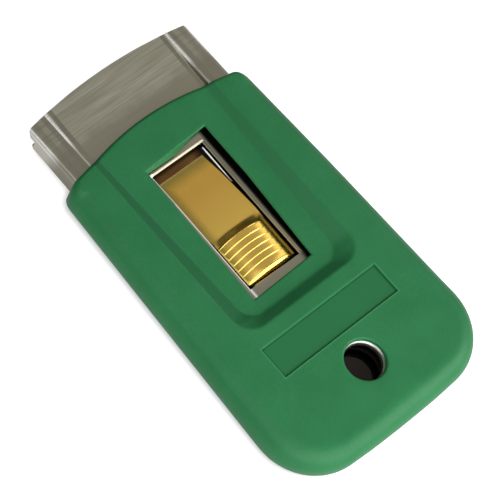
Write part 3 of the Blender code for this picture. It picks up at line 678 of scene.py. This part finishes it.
def window_edge_drop(x, y):
    """The drop of the window's worn edges: a bevel in front and a stepped one at the right."""
    if x > 0 and WINDOW_REAR_Y < y < WINDOW_FRONT_Y:
        return float(np.interp(max(0, x - WINDOW_HALF), *zip(*SIDE_CHAMFER)))
    if y > WINDOW_FRONT_Y - WINDOW_EDGE_REACH and abs(x) < WINDOW_HALF + WINDOW_EDGE_REACH:
        return float(np.interp(max(0, y - WINDOW_FRONT_Y), *zip(*FRONT_CHAMFER)))
    return 0.0


def make_collar():
    """The hanging hole's edge, drawn down in a round shoulder and a short tube, sloped with the top."""
    shoulder = BORE_RADIUS + COLLAR_SHOULDER
    tube = BORE_RADIUS + SHEET
    low = -COLLAR_DEPTH - SHEET
    profile = [(shoulder + COLLAR_FLAT, 0), (shoulder + 0.3, 0)]
    for turn in np.linspace(0, QUARTER_TURN, COLLAR_STEPS):
        drop = COLLAR_SHOULDER * (math.cos(turn) - 1)
        profile.append((shoulder - COLLAR_SHOULDER * math.sin(turn), drop))
    # Round the tube's lower end and back up under the shoulder
    profile += [(BORE_RADIUS, low), (tube, low), (tube, -1.2), (tube + 0.1, -0.9)]
    profile += [(shoulder + 0.2, -SHEET), (shoulder + COLLAR_FLAT, -SHEET)]
    top = strip_z(HOLE_Y)
    rings = []
    for angle in np.linspace(0, math.tau, BORE_STEPS, endpoint=False):
        c, s = math.cos(angle), math.sin(angle)
        rings.append([(r * c, HOLE_Y + r * s, top + z - SLEEVE_SLOPE * r * s) for r, z in profile])
    points = [p for ring in rings for p in ring]
    faces = strip_faces(BORE_STEPS, len(profile), closed_columns=True, closed_rows=True)
    return make_object("collar", points, faces)


def make_holder():
    """The folded sheet with its holes, and the collar joined in."""
    faces = []
    for inset in (0, SHEET):
        faces.append([holder_ring(y, share, inset) for y, share in holder_stations()])
    holder = make_sheet("holder", *faces)
    window_ys = (WINDOW_REAR_Y + CUT_CLEAR, WINDOW_FRONT_Y - CUT_CLEAR)
    combine(holder, middle_block("window", WINDOW_HALF - CUT_CLEAR, *window_ys, *WINDOW_CUT_ZS))
    combine(holder, middle_block("gap", FLANGE_HALF_GAP, FLANGE_REAR_Y, PAST_HEAD_Y, *FLANGE_CUT_ZS))
    slot = middle_block("slot", PAST_HEAD_HALF, SLOT_REAR_Y, PAST_HEAD_Y, SLOT_LOW_Z, SLOT_HIGH_Z)
    combine(holder, slot)
    for x in (-DETENT_X, DETENT_X):
        for y in DETENT_YS:
            combine(holder, pin("detent", x, y, DETENT_RADIUS, *DETENT_CUT_ZS))
    combine(holder, prism("bore", circle_loop(HOLE_Y, BORE_RADIUS, BORE_STEPS), *BORE_CUT_ZS))
    shoulder = circle_loop(HOLE_Y, BORE_RADIUS + COLLAR_SHOULDER + COLLAR_CUT, BORE_STEPS)
    combine(holder, prism("shoulder", shoulder, *SHOULDER_CUT_ZS))
    combine(holder, make_collar(), "UNION")
    return holder


# Thumb leaf

LEAF_Z = 3.3
LEAF_SHEET = 0.6
LEAF_FRONT_Y = 21.1
LEAF_PAD_Y = 5.5
LEAF_REAR_Y = -11.5
LEAF_COLUMNS = 84
EAR_FRONT_Y = -8.5
# The leaf's edges from rear to front, slightly askew in the window
LEAF_YS = (-11.5, -8.5, -8.3, -6.4, -5.8, 4.6, 6.0, 10.0, 14.0, 18.0, 21.1)
LEAF_RIGHTS = (11.6, 11.6, 5.0, 5.0, 6.6, 6.6, 6.65, 6.45, 6.2, 5.95, 5.45)
LEAF_LEFTS = (-11.6, -11.6, -5.0, -5.0, -6.15, -6.15, -6.45, -6.45, -6.45, -6.4, -6.35)
PAD_REAR_Y = -6.2
PAD_EDGE_RISE = 0.3
PAD_CROWN = 1.3
PAD_BOW = 0.45
PAD_BOW_RUN = 1.1
PAD_TURN = 0.025
# The pad's bow and turn fade out over these places at its front foot and towards the leaf's tail
FOOT_FADE_Y = LEAF_PAD_Y - 0.4
FOOT_FADE_RUN = 1.6
TAIL_FADE_Y = -8.3
TAIL_FADE_RUN = 1.8
RISER_START = 0.3
RISER_RUN = 2.0
RISER_SOFTNESS = 0.2
REAR_ROLL = 0.7
RIB_FIRST_Y = 3.12
RIB_PITCH = 1.458
RIB_COUNT = 7
RIB_FALL = 0.2
RIB_HEIGHT = 0.11
# Their saw-toothed profile: each falls off sharply behind, and gently in front of all but the first
RIB_CRESTS = [RIB_FIRST_Y - RIB_PITCH * i for i in range(RIB_COUNT)]
RIB_YS = sorted([RIB_FIRST_Y + RIB_FALL, *RIB_CRESTS, *(y - RIB_FALL for y in RIB_CRESTS)])
RIB_HEIGHTS = [0, RIB_HEIGHT] * RIB_COUNT + [0]
# The ribs fade out at the pad's sides, in shares of its half width
RIB_LEFT_FADE = 0.06
RIB_RIGHT_END = 0.93
RIB_RIGHT_FADE = 0.5
FRONT_BURR = 0.15
BURR_START = 0.26
BURR_RUN = 0.18
PAD_ROW_STEP = 0.06
PAD_ROWS_END_Y = LEAF_PAD_Y + 0.6
TAIL_END_ROWS = (LEAF_REAR_Y, -10, EAR_FRONT_Y, EAR_FRONT_Y + 0.2, -7.4, -6.9, PAD_REAR_Y - 0.2)
SLOPE_ROWS = (LEAF_PAD_Y + 0.7, 8, 12, 16)
FRONT_ROW_STEPS = (0.34, 0.26, 0.08, 0)
NIB_RADIUS = 0.7
NIB_HEIGHT = 0.3
NIB_Y = (LEAF_REAR_Y + EAR_FRONT_Y) / 2
NIB_FOOT_Z = LEAF_Z + 0.2
NIB_TOP_Z = LEAF_Z + LEAF_SHEET + NIB_HEIGHT


def roll_share(y):
    """How far a place lies round the pad's rolled rear end."""
    return clamp((PAD_REAR_Y + REAR_ROLL - y) / REAR_ROLL)


def leaf_rise(share, y):
    """The leaf's rise from its front: a slope, a riser, a crowned ribbed back and a rolled rear end."""
    dome = 1 - share ** 2
    riser = float(ramp((LEAF_PAD_Y - RISER_START - y) / RISER_RUN, RISER_SOFTNESS))
    end = math.sqrt(1 - roll_share(y) ** 2)
    slope = PAD_EDGE_RISE * min(1, (LEAF_FRONT_Y - y) / (LEAF_FRONT_Y - LEAF_PAD_Y))
    rib_fade = clamp(min((1 + share) / RIB_LEFT_FADE, (RIB_RIGHT_END - share) / RIB_RIGHT_FADE))
    burr = FRONT_BURR * clamp((y - LEAF_FRONT_Y + BURR_START) / BURR_RUN)
    ribs = float(np.interp(y, RIB_YS, RIB_HEIGHTS))
    return end * slope + riser * end * PAD_CROWN * dome + ribs * rib_fade + burr


def leaf_point(share, y, is_upper):
    """A place on the sheet; the pad's ribs and rear end bow forward and stand slightly turned."""
    left, right = np.interp(y, LEAF_YS, LEAF_LEFTS), np.interp(y, LEAF_YS, LEAF_RIGHTS)
    x = float((left + right) / 2 + share * (right - left) / 2)
    past_foot = clamp((FOOT_FADE_Y - y) / FOOT_FADE_RUN)
    past_end = clamp((y - TAIL_FADE_Y) / TAIL_FADE_RUN)
    bow = PAD_BOW * (1 - share ** 2) * clamp((y - PAD_REAR_Y) / PAD_BOW_RUN)
    bowed = y + past_foot * past_end * (bow - PAD_TURN * x)
    if is_upper:
        bowed -= LEAF_SHEET * roll_share(y) * past_end
    return x, bowed, LEAF_Z + leaf_rise(share, y) + LEAF_SHEET * is_upper


def leaf_stations():
    """Places along the leaf, close together over the pad."""
    pad_rows = np.arange(PAD_REAR_Y, PAD_ROWS_END_Y, PAD_ROW_STEP)
    front_rows = [LEAF_FRONT_Y - step for step in FRONT_ROW_STEPS]
    return [*TAIL_END_ROWS, *pad_rows, *SLOPE_ROWS, *front_rows]


def make_leaf():
    """The pressed leaf with its two nibs."""
    shares = np.sin(np.linspace(-QUARTER_TURN, QUARTER_TURN, LEAF_COLUMNS + 1))
    faces = []
    for is_upper in (True, False):
        faces.append([[leaf_point(share, y, is_upper) for share in shares] for y in leaf_stations()])
    leaf = make_sheet("leaf", *faces)
    for x in (-DETENT_X, DETENT_X):
        combine(leaf, pin("nib", x, NIB_Y, NIB_RADIUS, NIB_FOOT_Z, NIB_TOP_Z), "UNION")
    return leaf


# Carrier

CARRIER_HALF = 20.5
CARRIER_Z = 2.4
CARRIER_TOP_Z = 3.0
CARRIER_FRONT_Y = 40.3
CARRIER_REAR_Y = -12.0
CARRIER_CUT_ZS = (CARRIER_Z - 1, CARRIER_TOP_Z + 1)
PAST_CARRIER_Y = CARRIER_REAR_Y - 5
RUNNER_FRONT_Y = 24.0
RUNNER_WALL = 0.6
RUNNER_TOP_Z = 4.4
PEG_INNER = 18.15
PEG_REAR_Y = 31.0
PEG_FRONT_Y = 33.8
PEG_TOP_Z = 5.0
SPINE_SLOT_HALF = 19.35
SPINE_SLOT_REAR_Y = 24.7
SPINE_SLOT_FRONT_Y = 29.7
RELIEF_HALF = 7.4
RELIEF_FRONT_Y = 13.1
EAR_RELIEF_HALF = 12.5
EAR_RELIEF_FRONT_Y = -7.4
CARRIER_BEVEL = 0.08
BEVEL_ANGLE = math.radians(50)
BEAD_X = 7.15
BEAD_HALF = 0.23
BEAD_HEIGHT = 0.23
BEAD_FRONT_Y = 22.6
BEAD_REAR_Y = 13.3
# The bead's section as (outward, up), and how large it is at places along it
BEAD_FOOT = ((-BEAD_HALF, -0.2), (BEAD_HALF, -0.2))
BEAD_SECTION = (*BEAD_FOOT, (BEAD_HALF, 0), (BEAD_HALF / 2, BEAD_HEIGHT), (-BEAD_HALF, 0))
BEAD_SIZES = ((BEAD_REAR_Y, 0.25), (18, 0.8), (BEAD_FRONT_Y - 1, 1), (BEAD_FRONT_Y, 0.7))


def add_bevel(item, width):
    step = item.modifiers.new("bevel", "BEVEL")
    step.width = width * MM
    step.segments = 2
    step.limit_method = "ANGLE"
    step.angle_limit = BEVEL_ANGLE
    apply_modifiers(item)


def make_bead(side):
    """A stiffening bead pressed up beside the thumb leaf, fading out at both ends."""
    rings = []
    for y, size in BEAD_SIZES:
        section = [(side * (BEAD_X + out * size), CARRIER_TOP_Z + up * size) for out, up in BEAD_SECTION]
        rings.append([(x, y, z) for x, z in section])
    return loft("bead", rings)


def make_carrier():
    """The carrier plate with its runners, pegs, cut-outs and beads."""
    plate_ends = (CARRIER_REAR_Y, CARRIER_FRONT_Y, CARRIER_Z, CARRIER_TOP_Z)
    carrier = middle_block("carrier", CARRIER_HALF, *plate_ends)
    for side in (-1, 1):
        wall = sorted((side * CARRIER_HALF, side * (CARRIER_HALF - RUNNER_WALL)))
        peg = sorted((side * PEG_INNER, side * (PEG_INNER + RUNNER_WALL)))
        runner = block("runner", *wall, CARRIER_REAR_Y, RUNNER_FRONT_Y, CARRIER_Z, RUNNER_TOP_Z)
        combine(carrier, runner, "UNION")
        combine(carrier, block("peg", *peg, PEG_REAR_Y, PEG_FRONT_Y, CARRIER_Z, PEG_TOP_Z), "UNION")
    cuts = (
        ("slot", SPINE_SLOT_HALF, SPINE_SLOT_REAR_Y, SPINE_SLOT_FRONT_Y),
        ("relief", RELIEF_HALF, PAST_CARRIER_Y, RELIEF_FRONT_Y),
        ("ears", EAR_RELIEF_HALF, PAST_CARRIER_Y, EAR_RELIEF_FRONT_Y),
    )
    for name, half, rear_y, front_y in cuts:
        combine(carrier, middle_block(name, half, rear_y, front_y, *CARRIER_CUT_ZS))
    add_bevel(carrier, CARRIER_BEVEL)
    for side in (-1, 1):
        combine(carrier, make_bead(side), "UNION")
    return carrier


# Materials, with places and sizes in millimetres

PER_MM = 1000.0
# The middle of a noise's values, which holds nearly all of them
NOISE_LOW = 0.3
NOISE_HIGH = 0.7
BAND_FADE = 0.12

GREEN = (0.0194, 0.149, 0.0508)
GREEN_MOTTLED = (0.024, 0.167, 0.059)
GREEN_GRAIN = (0.011, 0.117, 0.037)
GREEN_PLATE = (0.016, 0.128, 0.043)
GREEN_PLATE_EDGE_SHADE = (0.008, 0.062, 0.022)
GREEN_GLINT = (0.042, 0.25, 0.095)
GREEN_WALL_SHADE = (0.012, 0.105, 0.037)
GREEN_BORE_SHADE = (0.002, 0.012, 0.005)
GREEN_SPECULAR = 0.19

NICKEL_DARK = (0.36, 0.342, 0.258)
NICKEL_LIGHT = (0.53, 0.512, 0.405)
NICKEL_BROAD = (0.33, 0.305, 0.22)
NICKEL_SHADED = (0.24, 0.215, 0.16)
# Painted shade and painted highlights along both folds, as (near, far, share, colour), by distance from
# the middle plane
FOLD_SHADE_AND_HIGHLIGHTS = (
    (14.9, 15.75, 0.6, (0.17, 0.155, 0.11)),
    (17.0, 18.0, 0.5, NICKEL_SHADED),
    (19.3, 20.4, 0.35, NICKEL_SHADED),
    (16.2, 16.8, 1.0, (1.0, 0.99, 0.95)),
    (21.0, 23.0, 1.0, (0.74, 0.72, 0.63)),
)
NICKEL_FOLD_HIGHLIGHT = (1.0, 0.98, 0.93)
NICKEL_SLEEVE_SHADE = (0.3, 0.275, 0.2)
NICKEL_RIM_HIGHLIGHT = (1.0, 1.0, 0.96)
NICKEL_COLLAR_HIGHLIGHT = (0.5, 0.49, 0.45)
PAINTED_SHADE_BLACK = (0.01, 0.01, 0.009)

BRASS_DARK = (0.78, 0.46, 0.088)
BRASS_LIGHT = (0.81, 0.49, 0.098)
BRASS_PAD = (0.90, 0.59, 0.125)
BRASS_EDGE_SHADE = (0.28, 0.23, 0.05)
BRASS_FRONT_HIGHLIGHT = (0.62, 0.45, 0.16)
CARRIER_SHADE_DARK = (0.13, 0.066, 0.022)
CARRIER_SHADE_LIGHT = (0.2, 0.105, 0.036)
CARRIER_SHADED = (0.012, 0.01, 0.009)
CARRIER_BEAD_HIGHLIGHT = (0.95, 0.93, 0.88)

STEEL_ROUGHNESS_SPREAD = 0.12


def new_look(name):
    """A fresh material as (material, its shader, its coordinates in millimetres, their X, Y and Z)."""
    made = bpy.data.materials.new(name)
    made.use_nodes = True
    coords = millimetres(made.node_tree)
    axes = add_node(coords, "SeparateXYZ", {0: coords}).outputs
    return made, made.node_tree.nodes["Principled BSDF"], coords, tuple(axes)


def millimetres(tree):
    """The object's own coordinates in millimetres."""
    coords = add_node(tree, "TexCoord").outputs["Object"]
    inputs = {0: coords, "Scale": PER_MM}
    return add_node(coords, "VectorMath", inputs, operation="SCALE").outputs[0]


def add_node(owner, kind, inputs=None, **settings):
    """A shader node in this tree, or in the tree of this socket."""
    node = owner.id_data.nodes.new("ShaderNode" + kind)
    for key, value in settings.items():
        setattr(node, key, value)
    for key, value in (inputs or {}).items():
        plug(value, node.inputs[key])
    return node


def plug(value, socket):
    """Link a socket, or set a plain value."""
    if isinstance(value, bpy.types.NodeSocket):
        socket.id_data.links.new(value, socket)
    else:
        socket.default_value = value


def noise(coords, size, detail=3.0, stretch=(1, 1, 1)):
    """Noise with features of this size, drawn out by stretch along each axis."""
    scale = tuple(1 / (size * s) for s in stretch)
    placed = add_node(coords, "Mapping", {"Vector": coords, "Scale": scale}).outputs[0]
    inputs = {"Vector": placed, "Scale": 1.0, "Detail": detail}
    return add_node(coords, "TexNoise", inputs).outputs["Fac"]


def remap(value, low, high, to_low=0.0, to_high=1.0, smooth=False):
    kind = "SMOOTHSTEP" if smooth else "LINEAR"
    inputs = {"Value": value, "From Min": low, "From Max": high, "To Min": to_low, "To Max": to_high}
    return add_node(value, "MapRange", inputs, interpolation_type=kind).outputs[0]


def spread(noise_value, to_low=0.0, to_high=1.0):
    return remap(noise_value, NOISE_LOW, NOISE_HIGH, to_low, to_high)


def maths(operation, first, second=0.0, is_held=False):
    inputs = {0: first, 1: second}
    return add_node(first, "Math", inputs, operation=operation, use_clamp=is_held).outputs[0]


def held(operation, first, second):
    """The result held between 0 and 1."""
    return maths(operation, first, second, True)


def vector_maths(operation, first, second=(0, 0, 0)):
    """A vector, or a number where the operation gives one."""
    node = add_node(first, "VectorMath", {0: first, 1: second}, operation=operation)
    return node.outputs["Value" if operation == "LENGTH" else "Vector"]


def overlap(first, *others):
    """The shares multiplied together."""
    for other in others:
        first = held("MULTIPLY", first, other)
    return first


def blend(share, first, second):
    """A colour part of the way from the first to the second."""
    first, second = [(*c, 1) if isinstance(c, tuple) else c for c in (first, second)]
    inputs = {0: share, 6: first, 7: second}
    return add_node(share, "Mix", inputs, data_type="RGBA").outputs[2]


def bump(shader, height, strength, depth):
    """Raise the surface by a height map this many millimetres deep."""
    inputs = {"Height": height, "Strength": strength, "Distance": depth * MM}
    plug(add_node(height, "Bump", inputs).outputs[0], shader.inputs["Normal"])


def plug_surface(shader, colour, roughness, metallic=1.0):
    plug(colour, shader.inputs["Base Color"])
    plug(metallic, shader.inputs["Metallic"])
    plug(roughness, shader.inputs["Roughness"])


def hole_distance(coords):
    """Distance in plan from the middle of the hanging hole."""
    place = vector_maths("ADD", coords, (0, -HOLE_Y, 0))
    return vector_maths("LENGTH", vector_maths("MULTIPLY", place, (1, 1, 0)))


def near_hole(coords):
    """1 close round the hanging hole, and 0 elsewhere."""
    return remap(hole_distance(coords), BORE_RADIUS + 1.1, BORE_RADIUS + 1)


def in_bore(coords, z, top_z):
    """1 on the walls of the hanging hole below this height, and 0 elsewhere."""
    return overlap(near_hole(coords), remap(z, top_z, top_z - 0.3))


def band(x, near, far):
    """1 on both sides of the middle plane between these distances from it, and 0 elsewhere."""
    out = maths("ABSOLUTE", x)
    return overlap(remap(out, near - BAND_FADE, near), remap(out, far + BAND_FADE, far))


def inside_plate(x, y, far, near):
    """1 on the plate as far as near past its edge, and 0 from far past it."""
    out_x = maths("ABSOLUTE", x)
    out_y = maths("ABSOLUTE", maths("SUBTRACT", y, PLATE_MIDDLE_Y))
    sides = ((out_x, PLATE_HALF), (out_y, PLATE_HALF_RUN))
    return overlap(*(remap(out, half + far, half + near) for out, half in sides))


def painted_wall_shade(x, y, z):
    """Painted shade on the recess's walls between rim and floor in front of its rear corners, stronger on
    the left.
    """
    slope = maths("MULTIPLY", y, -SLEEVE_SLOPE)
    plane = maths("ADD", slope, SLEEVE_NOSE_Z + SLEEVE_SLOPE * NOSE_Y)
    depth = maths("SUBTRACT", plane, z)
    return overlap(
        remap(depth, 0.12, 0.25),
        remap(z, RECESS_Z + 0.03, RECESS_Z + 0.15),
        remap(maths("ABSOLUTE", x), RECESS_HALF + 0.5, RECESS_HALF + 0.4),
        remap(y, -12.5, -11.5),
        remap(x, -1.0, 1.0, 0.72, 0.42),
    )


def plastic_look():
    """Moulded green plastic: even colour with faint mottling and a fine satin grain, with painted shade
    and highlights round the plate, on the recess walls and in the hole.
    """
    made, shader, coords, (x, y, z) = new_look("sleeve_green")
    mottle = noise(coords, 9.0, 4.0)
    grain = noise(coords, 0.34)
    colour = blend(remap(mottle, 0.35, 0.65), GREEN, GREEN_MOTTLED)
    colour = blend(remap(grain, 0.38, 0.62, 0.0, 0.3), colour, GREEN_GRAIN)
    plate = inside_plate(x, y, 0, -PLATE_DRAFT)
    # corner is painted shade just inside the plate's edge, and glint is a painted highlight just outside
    # it
    corner = held("SUBTRACT", plate, inside_plate(x, y, -0.3, -0.4))
    glint = held("SUBTRACT", inside_plate(x, y, 0.4, 0.2), plate)
    colour = blend(overlap(plate, 0.8), colour, GREEN_PLATE)
    colour = blend(overlap(corner, 0.75), colour, GREEN_PLATE_EDGE_SHADE)
    colour = blend(overlap(glint, 0.5), colour, GREEN_GLINT)
    colour = blend(painted_wall_shade(x, y, z), colour, GREEN_WALL_SHADE)
    # painted shade darkens the hanging hole's walls
    colour = blend(in_bore(coords, z, 6.8), colour, GREEN_BORE_SHADE)
    plug_surface(shader, colour, spread(grain, 0.34, 0.42), 0.0)
    plug(GREEN_SPECULAR, shader.inputs["Specular IOR Level"])
    bump(shader, grain, 0.35, 0.02)
    return made


def nickel_look():
    """Nickel-plated sheet, brushed across the width, with painted shade making it browner where it meets
    the sleeve, and painted highlights and shade along its folds and edges.
    """
    made, shader, coords, (x, y, z) = new_look("brushed_nickel")
    streaks = noise(coords, 0.28, 4.0, (40, 1, 1))
    broad = noise(coords, 1.4, 3.0, (9, 1, 1))
    cloud = noise(coords, 5.0)
    colour = blend(spread(streaks), NICKEL_DARK, NICKEL_LIGHT)
    colour = blend(remap(broad, 0.35, 0.7, 0.0, 0.5), colour, NICKEL_BROAD)
    for near, far, share, shade in FOLD_SHADE_AND_HIGHLIGHTS:
        colour = blend(overlap(band(x, near, far), share), colour, shade)
    # turned is a painted highlight along the outer fold's crest
    turned = overlap(band(x, 20.95, 23.0), remap(z, 5.3, 5.5))
    colour = blend(turned, colour, NICKEL_FOLD_HIGHLIGHT)
    # painted shade: browner towards and under the sleeve, with a ragged border
    ragged_y = maths("ADD", y, remap(cloud, 0.0, 1.0, -1.6, 1.6))
    sleeve_shade = remap(ragged_y, 39.5, 35.5, 0.0, 0.8, True)
    sleeve_shade = held("MAXIMUM", sleeve_shade, remap(y, -6.8, -7.0, 0.0, 0.5))
    colour = blend(sleeve_shade, colour, NICKEL_SLEEVE_SHADE)
    # rim is a painted highlight along the window's left edge
    rim = (remap(x, -7.3, -7.18), remap(x, -6.5, -6.9), remap(y, 23.6, 23.5))
    colour = blend(overlap(*rim), colour, NICKEL_RIM_HIGHLIGHT)
    # painted highlight: a lighter base on the collar round the hanging hole
    colour = blend(near_hole(coords), colour, NICKEL_COLLAR_HIGHLIGHT)
    # painted shade: black on the panel under the sleeve's right edge and on the hanging hole's walls
    beside = (remap(x, 7.25, 8.1), remap(y, 26.0, 25.5), remap(z, 5.4, 5.3))
    dark_shade = held("MAXIMUM", overlap(*beside), in_bore(coords, z, 6.9))
    colour = blend(dark_shade, colour, PAINTED_SHADE_BLACK)
    plug_surface(shader, colour, spread(streaks, 0.30, 0.42))
    bump(shader, streaks, 0.25, 0.006)
    return made


def brass_look():
    """Satin brass plate, with painted shade in olive along the leaf's front and left edges and a painted
    highlight on its front edge.
    """
    made, shader, coords, (x, y, _) = new_look("brass_plate")
    rolled = noise(coords, 0.22, 3.0, (1, 18, 1))
    cloud = noise(coords, 3.5)
    grain = noise(coords, 0.25, 2.0)
    colour = blend(spread(rolled), BRASS_DARK, BRASS_LIGHT)
    colour = blend(remap(y, 15.0, 6.0), colour, BRASS_PAD)
    # painted shade in olive along the leaf's front and left edges
    front = remap(y, 17.6, 20.9, 0.0, 0.85, True)
    left = remap(x, -3.9, -6.3, 0.0, 0.8, True)
    patchy = remap(cloud, 0.25, 0.75, 0.8, 1.0)
    edge_shade = overlap(held("MAXIMUM", front, left), patchy)
    colour = blend(edge_shade, colour, BRASS_EDGE_SHADE)
    # painted highlight along the leaf's front edge
    front_highlight = remap(y, LEAF_FRONT_Y - 0.3, LEAF_FRONT_Y - 0.24)
    colour = blend(front_highlight, colour, BRASS_FRONT_HIGHLIGHT)
    thumbed = remap(y, 4.2, 3.2, 0.26, 0.18)
    plug_surface(shader, colour, held("ADD", thumbed, spread(grain, 0.0, 0.006)))
    return made


def carrier_look():
    """The same brass, darkened to a dull brown as painted shade inside the holder, with a painted
    highlight on its beads.
    """
    made, shader, coords, (x, _, z) = new_look("brass_painted_shade")
    cloud = noise(coords, 2.5, 4.0)
    scratches = noise(coords, 0.15, 3.0, (1, 30, 1))
    # the carrier's brass is painted dark as shade inside the holder
    colour = blend(spread(cloud), CARRIER_SHADE_DARK, CARRIER_SHADE_LIGHT)
    colour = blend(remap(x, 4.0, 6.2), colour, CARRIER_SHADED)
    # painted highlight on the tops of the beads
    bead = overlap(remap(z, CARRIER_TOP_Z + 0.02, CARRIER_TOP_Z + 0.05), band(x, 6.7, 7.8))
    colour = blend(bead, colour, CARRIER_BEAD_HIGHLIGHT)
    plug_surface(shader, colour, spread(scratches, 0.34, 0.5))
    bump(shader, scratches, 0.2, 0.004)
    return made


def steel_look(name, dark, light, roughness):
    """Ground steel with fine lines along its length."""
    made, shader, coords, _ = new_look(name)
    lines = noise(coords, 0.12, 3.0, (1, 40, 1))
    spots = noise(coords, 4.0)
    colour = blend(spread(lines), dark, light)
    rough = spread(spots, roughness, roughness + STEEL_ROUGHNESS_SPREAD)
    plug_surface(shader, colour, rough)
    bump(shader, lines, 0.2, 0.003)
    return made


# Camera, light and floor

# Fitted to the object's edges in the photograph, with the head's width for the scale; angles in degrees
CAMERA_AZIMUTH = -71.93
CAMERA_ELEVATION = 60.66
CAMERA_ROLL = 33.08
CAMERA_TURNS = ((CAMERA_AZIMUTH, "Z"), (90 - CAMERA_ELEVATION, "X"), (CAMERA_ROLL, "Z"))
CAMERA_DISTANCE = 571.76 * MM
CAMERA_TARGET = Vector((0.806, 0.058, 1.4)) * MM
CAMERA_CLIPS = (0.05, 20)
SENSOR_WIDTH = 36.0
LENS = 204.86

# Each lamp's name, place and size in metres, power in watts, and aim if that isn't the object's middle
LAMPS = (
    ("rear", (0.0, -0.255, 0.165), (0.92, 0.3), 2.2, (0.04, 0, 0)),
    ("rear_right", (0.27, -0.19, 0.17), (0.24, 0.2), 0.27),
    ("side", (-0.4, 0.0, 0.42), (0.35, 0.6), 0.8),
    ("edge", (0.5, 0.09, 0.3), (0.14, 0.6), 0.2),
    ("sheen", (0.33, 0.11, 0.61), (0.6, 1.1), 0.58),
    ("over", (-0.12, 0.0, 0.7), (0.5, 0.6), 0.46),
)
SKY_STRENGTH = 0.1

FLOOR_SIZE = 6
FLOOR_GREY = (0.5, 0.5, 0.5)
FLOOR_SHADE_UNDER_HOLE = (0.09, 0.072, 0.062)
UNDER_HOLE_REACH = 10
GLOW = (0.85, 0.85, 0.85)
GLOW_MIRRORED = 0.2
GLOW_BOUNCED = 0.75
CONTACT = (0.02, 0.015, 0.015)
CONTACT_REACH = 1.7
CONTACT_SAMPLES = 16

# Edges that turn by more degrees than this are drawn sharp
SHARP_ANGLE = 35
LEAF_SHARP_ANGLE = 60


def add_camera():
    data = bpy.data.cameras.new("camera")
    data.sensor_width = SENSOR_WIDTH
    data.lens = LENS
    data.clip_start, data.clip_end = CAMERA_CLIPS
    camera = new_object("camera", data)
    place = Matrix.Translation(CAMERA_TARGET)
    for angle, axis in CAMERA_TURNS:
        place = place @ Matrix.Rotation(math.radians(angle), 4, axis)
    camera.matrix_world = place @ Matrix.Translation((0, 0, CAMERA_DISTANCE))
    bpy.context.scene.camera = camera


def add_lamp(name, place, size, power, aim=(0, 0, 0)):
    data = bpy.data.lights.new(name, "AREA")
    data.shape = "ELLIPSE"
    data.size, data.size_y = size
    data.energy = power
    lamp = new_object(name, data)
    lamp.location = place
    lamp.rotation_mode = "QUATERNION"
    lamp.rotation_quaternion = (Vector(aim) - Vector(place)).to_track_quat("-Z", "Y")


def floor_glow(open_floor):
    """White light for the camera, less in other rays and none where a piece touches the floor."""
    rays = add_node(open_floor, "LightPath").outputs
    mirrored = maths("MULTIPLY", rays["Is Glossy Ray"], GLOW_MIRRORED)
    bounced = maths("MULTIPLY", rays["Is Diffuse Ray"], GLOW_BOUNCED)
    unseen = maths("ADD", mirrored, bounced)
    seen = maths("ADD", rays["Is Camera Ray"], unseen)
    strength = maths("MULTIPLY", seen, open_floor)
    reach = {"Distance": CONTACT_REACH * MM}
    clear = add_node(open_floor, "AmbientOcclusion", reach, samples=CONTACT_SAMPLES).outputs["AO"]
    inputs = {"Color": blend(clear, CONTACT, GLOW), "Strength": strength}
    return add_node(open_floor, "Emission", inputs).outputs[0]


def add_floor():
    bpy.ops.mesh.primitive_plane_add(size=FLOOR_SIZE)
    floor = bpy.context.object
    floor.name = "floor"
    made = bpy.data.materials.new("floor")
    made.use_nodes = True
    tree = made.node_tree
    tree.nodes.clear()
    # No glow shows through the hanging hole, and the floor under it is painted dark as shade
    open_floor = maths("GREATER_THAN", hole_distance(millimetres(tree)), UNDER_HOLE_REACH)
    grey = {"Color": blend(open_floor, FLOOR_SHADE_UNDER_HOLE, FLOOR_GREY)}
    diffuse = add_node(tree, "BsdfDiffuse", grey).outputs[0]
    surface = add_node(tree, "AddShader", {0: diffuse, 1: floor_glow(open_floor)})
    add_node(tree, "OutputMaterial", {"Surface": surface.outputs[0]})
    dress(floor, made)


def add_world():
    world = bpy.data.worlds.new("studio")
    bpy.context.scene.world = world
    world.use_nodes = True
    sky = world.node_tree.nodes["Background"]
    sky.inputs["Color"].default_value = (1, 1, 1, 1)
    sky.inputs["Strength"].default_value = SKY_STRENGTH


def dress(item, look):
    item.data.materials.clear()
    item.data.materials.append(look)


def finish_piece(item, body, node, sharp_angle=SHARP_ANGLE):
    """Give a piece its look, its body and the CAD node it stands for."""
    dress(item, LOOKS[node])
    item.data.shade_smooth()
    item.data.set_sharp_from_angle(angle=math.radians(sharp_angle))
    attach(item, body)
    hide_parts(node)


add_camera()
add_world()
add_floor()
for lamp in LAMPS:
    add_lamp(*lamp)

LOOKS = {
    "grip_sleeve": plastic_look(),
    "blade_holder": nickel_look(),
    "thumb_slide": brass_look(),
    "blade_carrier": carrier_look(),
    "razor_blade": steel_look("blade_steel", (0.52, 0.53, 0.54), (0.66, 0.67, 0.68), 0.24),
    "blade_spine": steel_look("spine_steel", (0.34, 0.34, 0.34), (0.46, 0.46, 0.46), 0.36),
}
for name, look in LOOKS.items():
    dress(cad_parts[name], look)

finish_piece(make_sleeve(), "handle", "grip_sleeve")
finish_piece(make_holder(), "handle", "blade_holder")
finish_piece(make_leaf(), "thumb_leaf", "thumb_slide", LEAF_SHARP_ANGLE)
finish_piece(make_carrier(), "slide", "blade_carrier")

scene = bpy.context.scene
scene.view_settings.view_transform = "Standard"
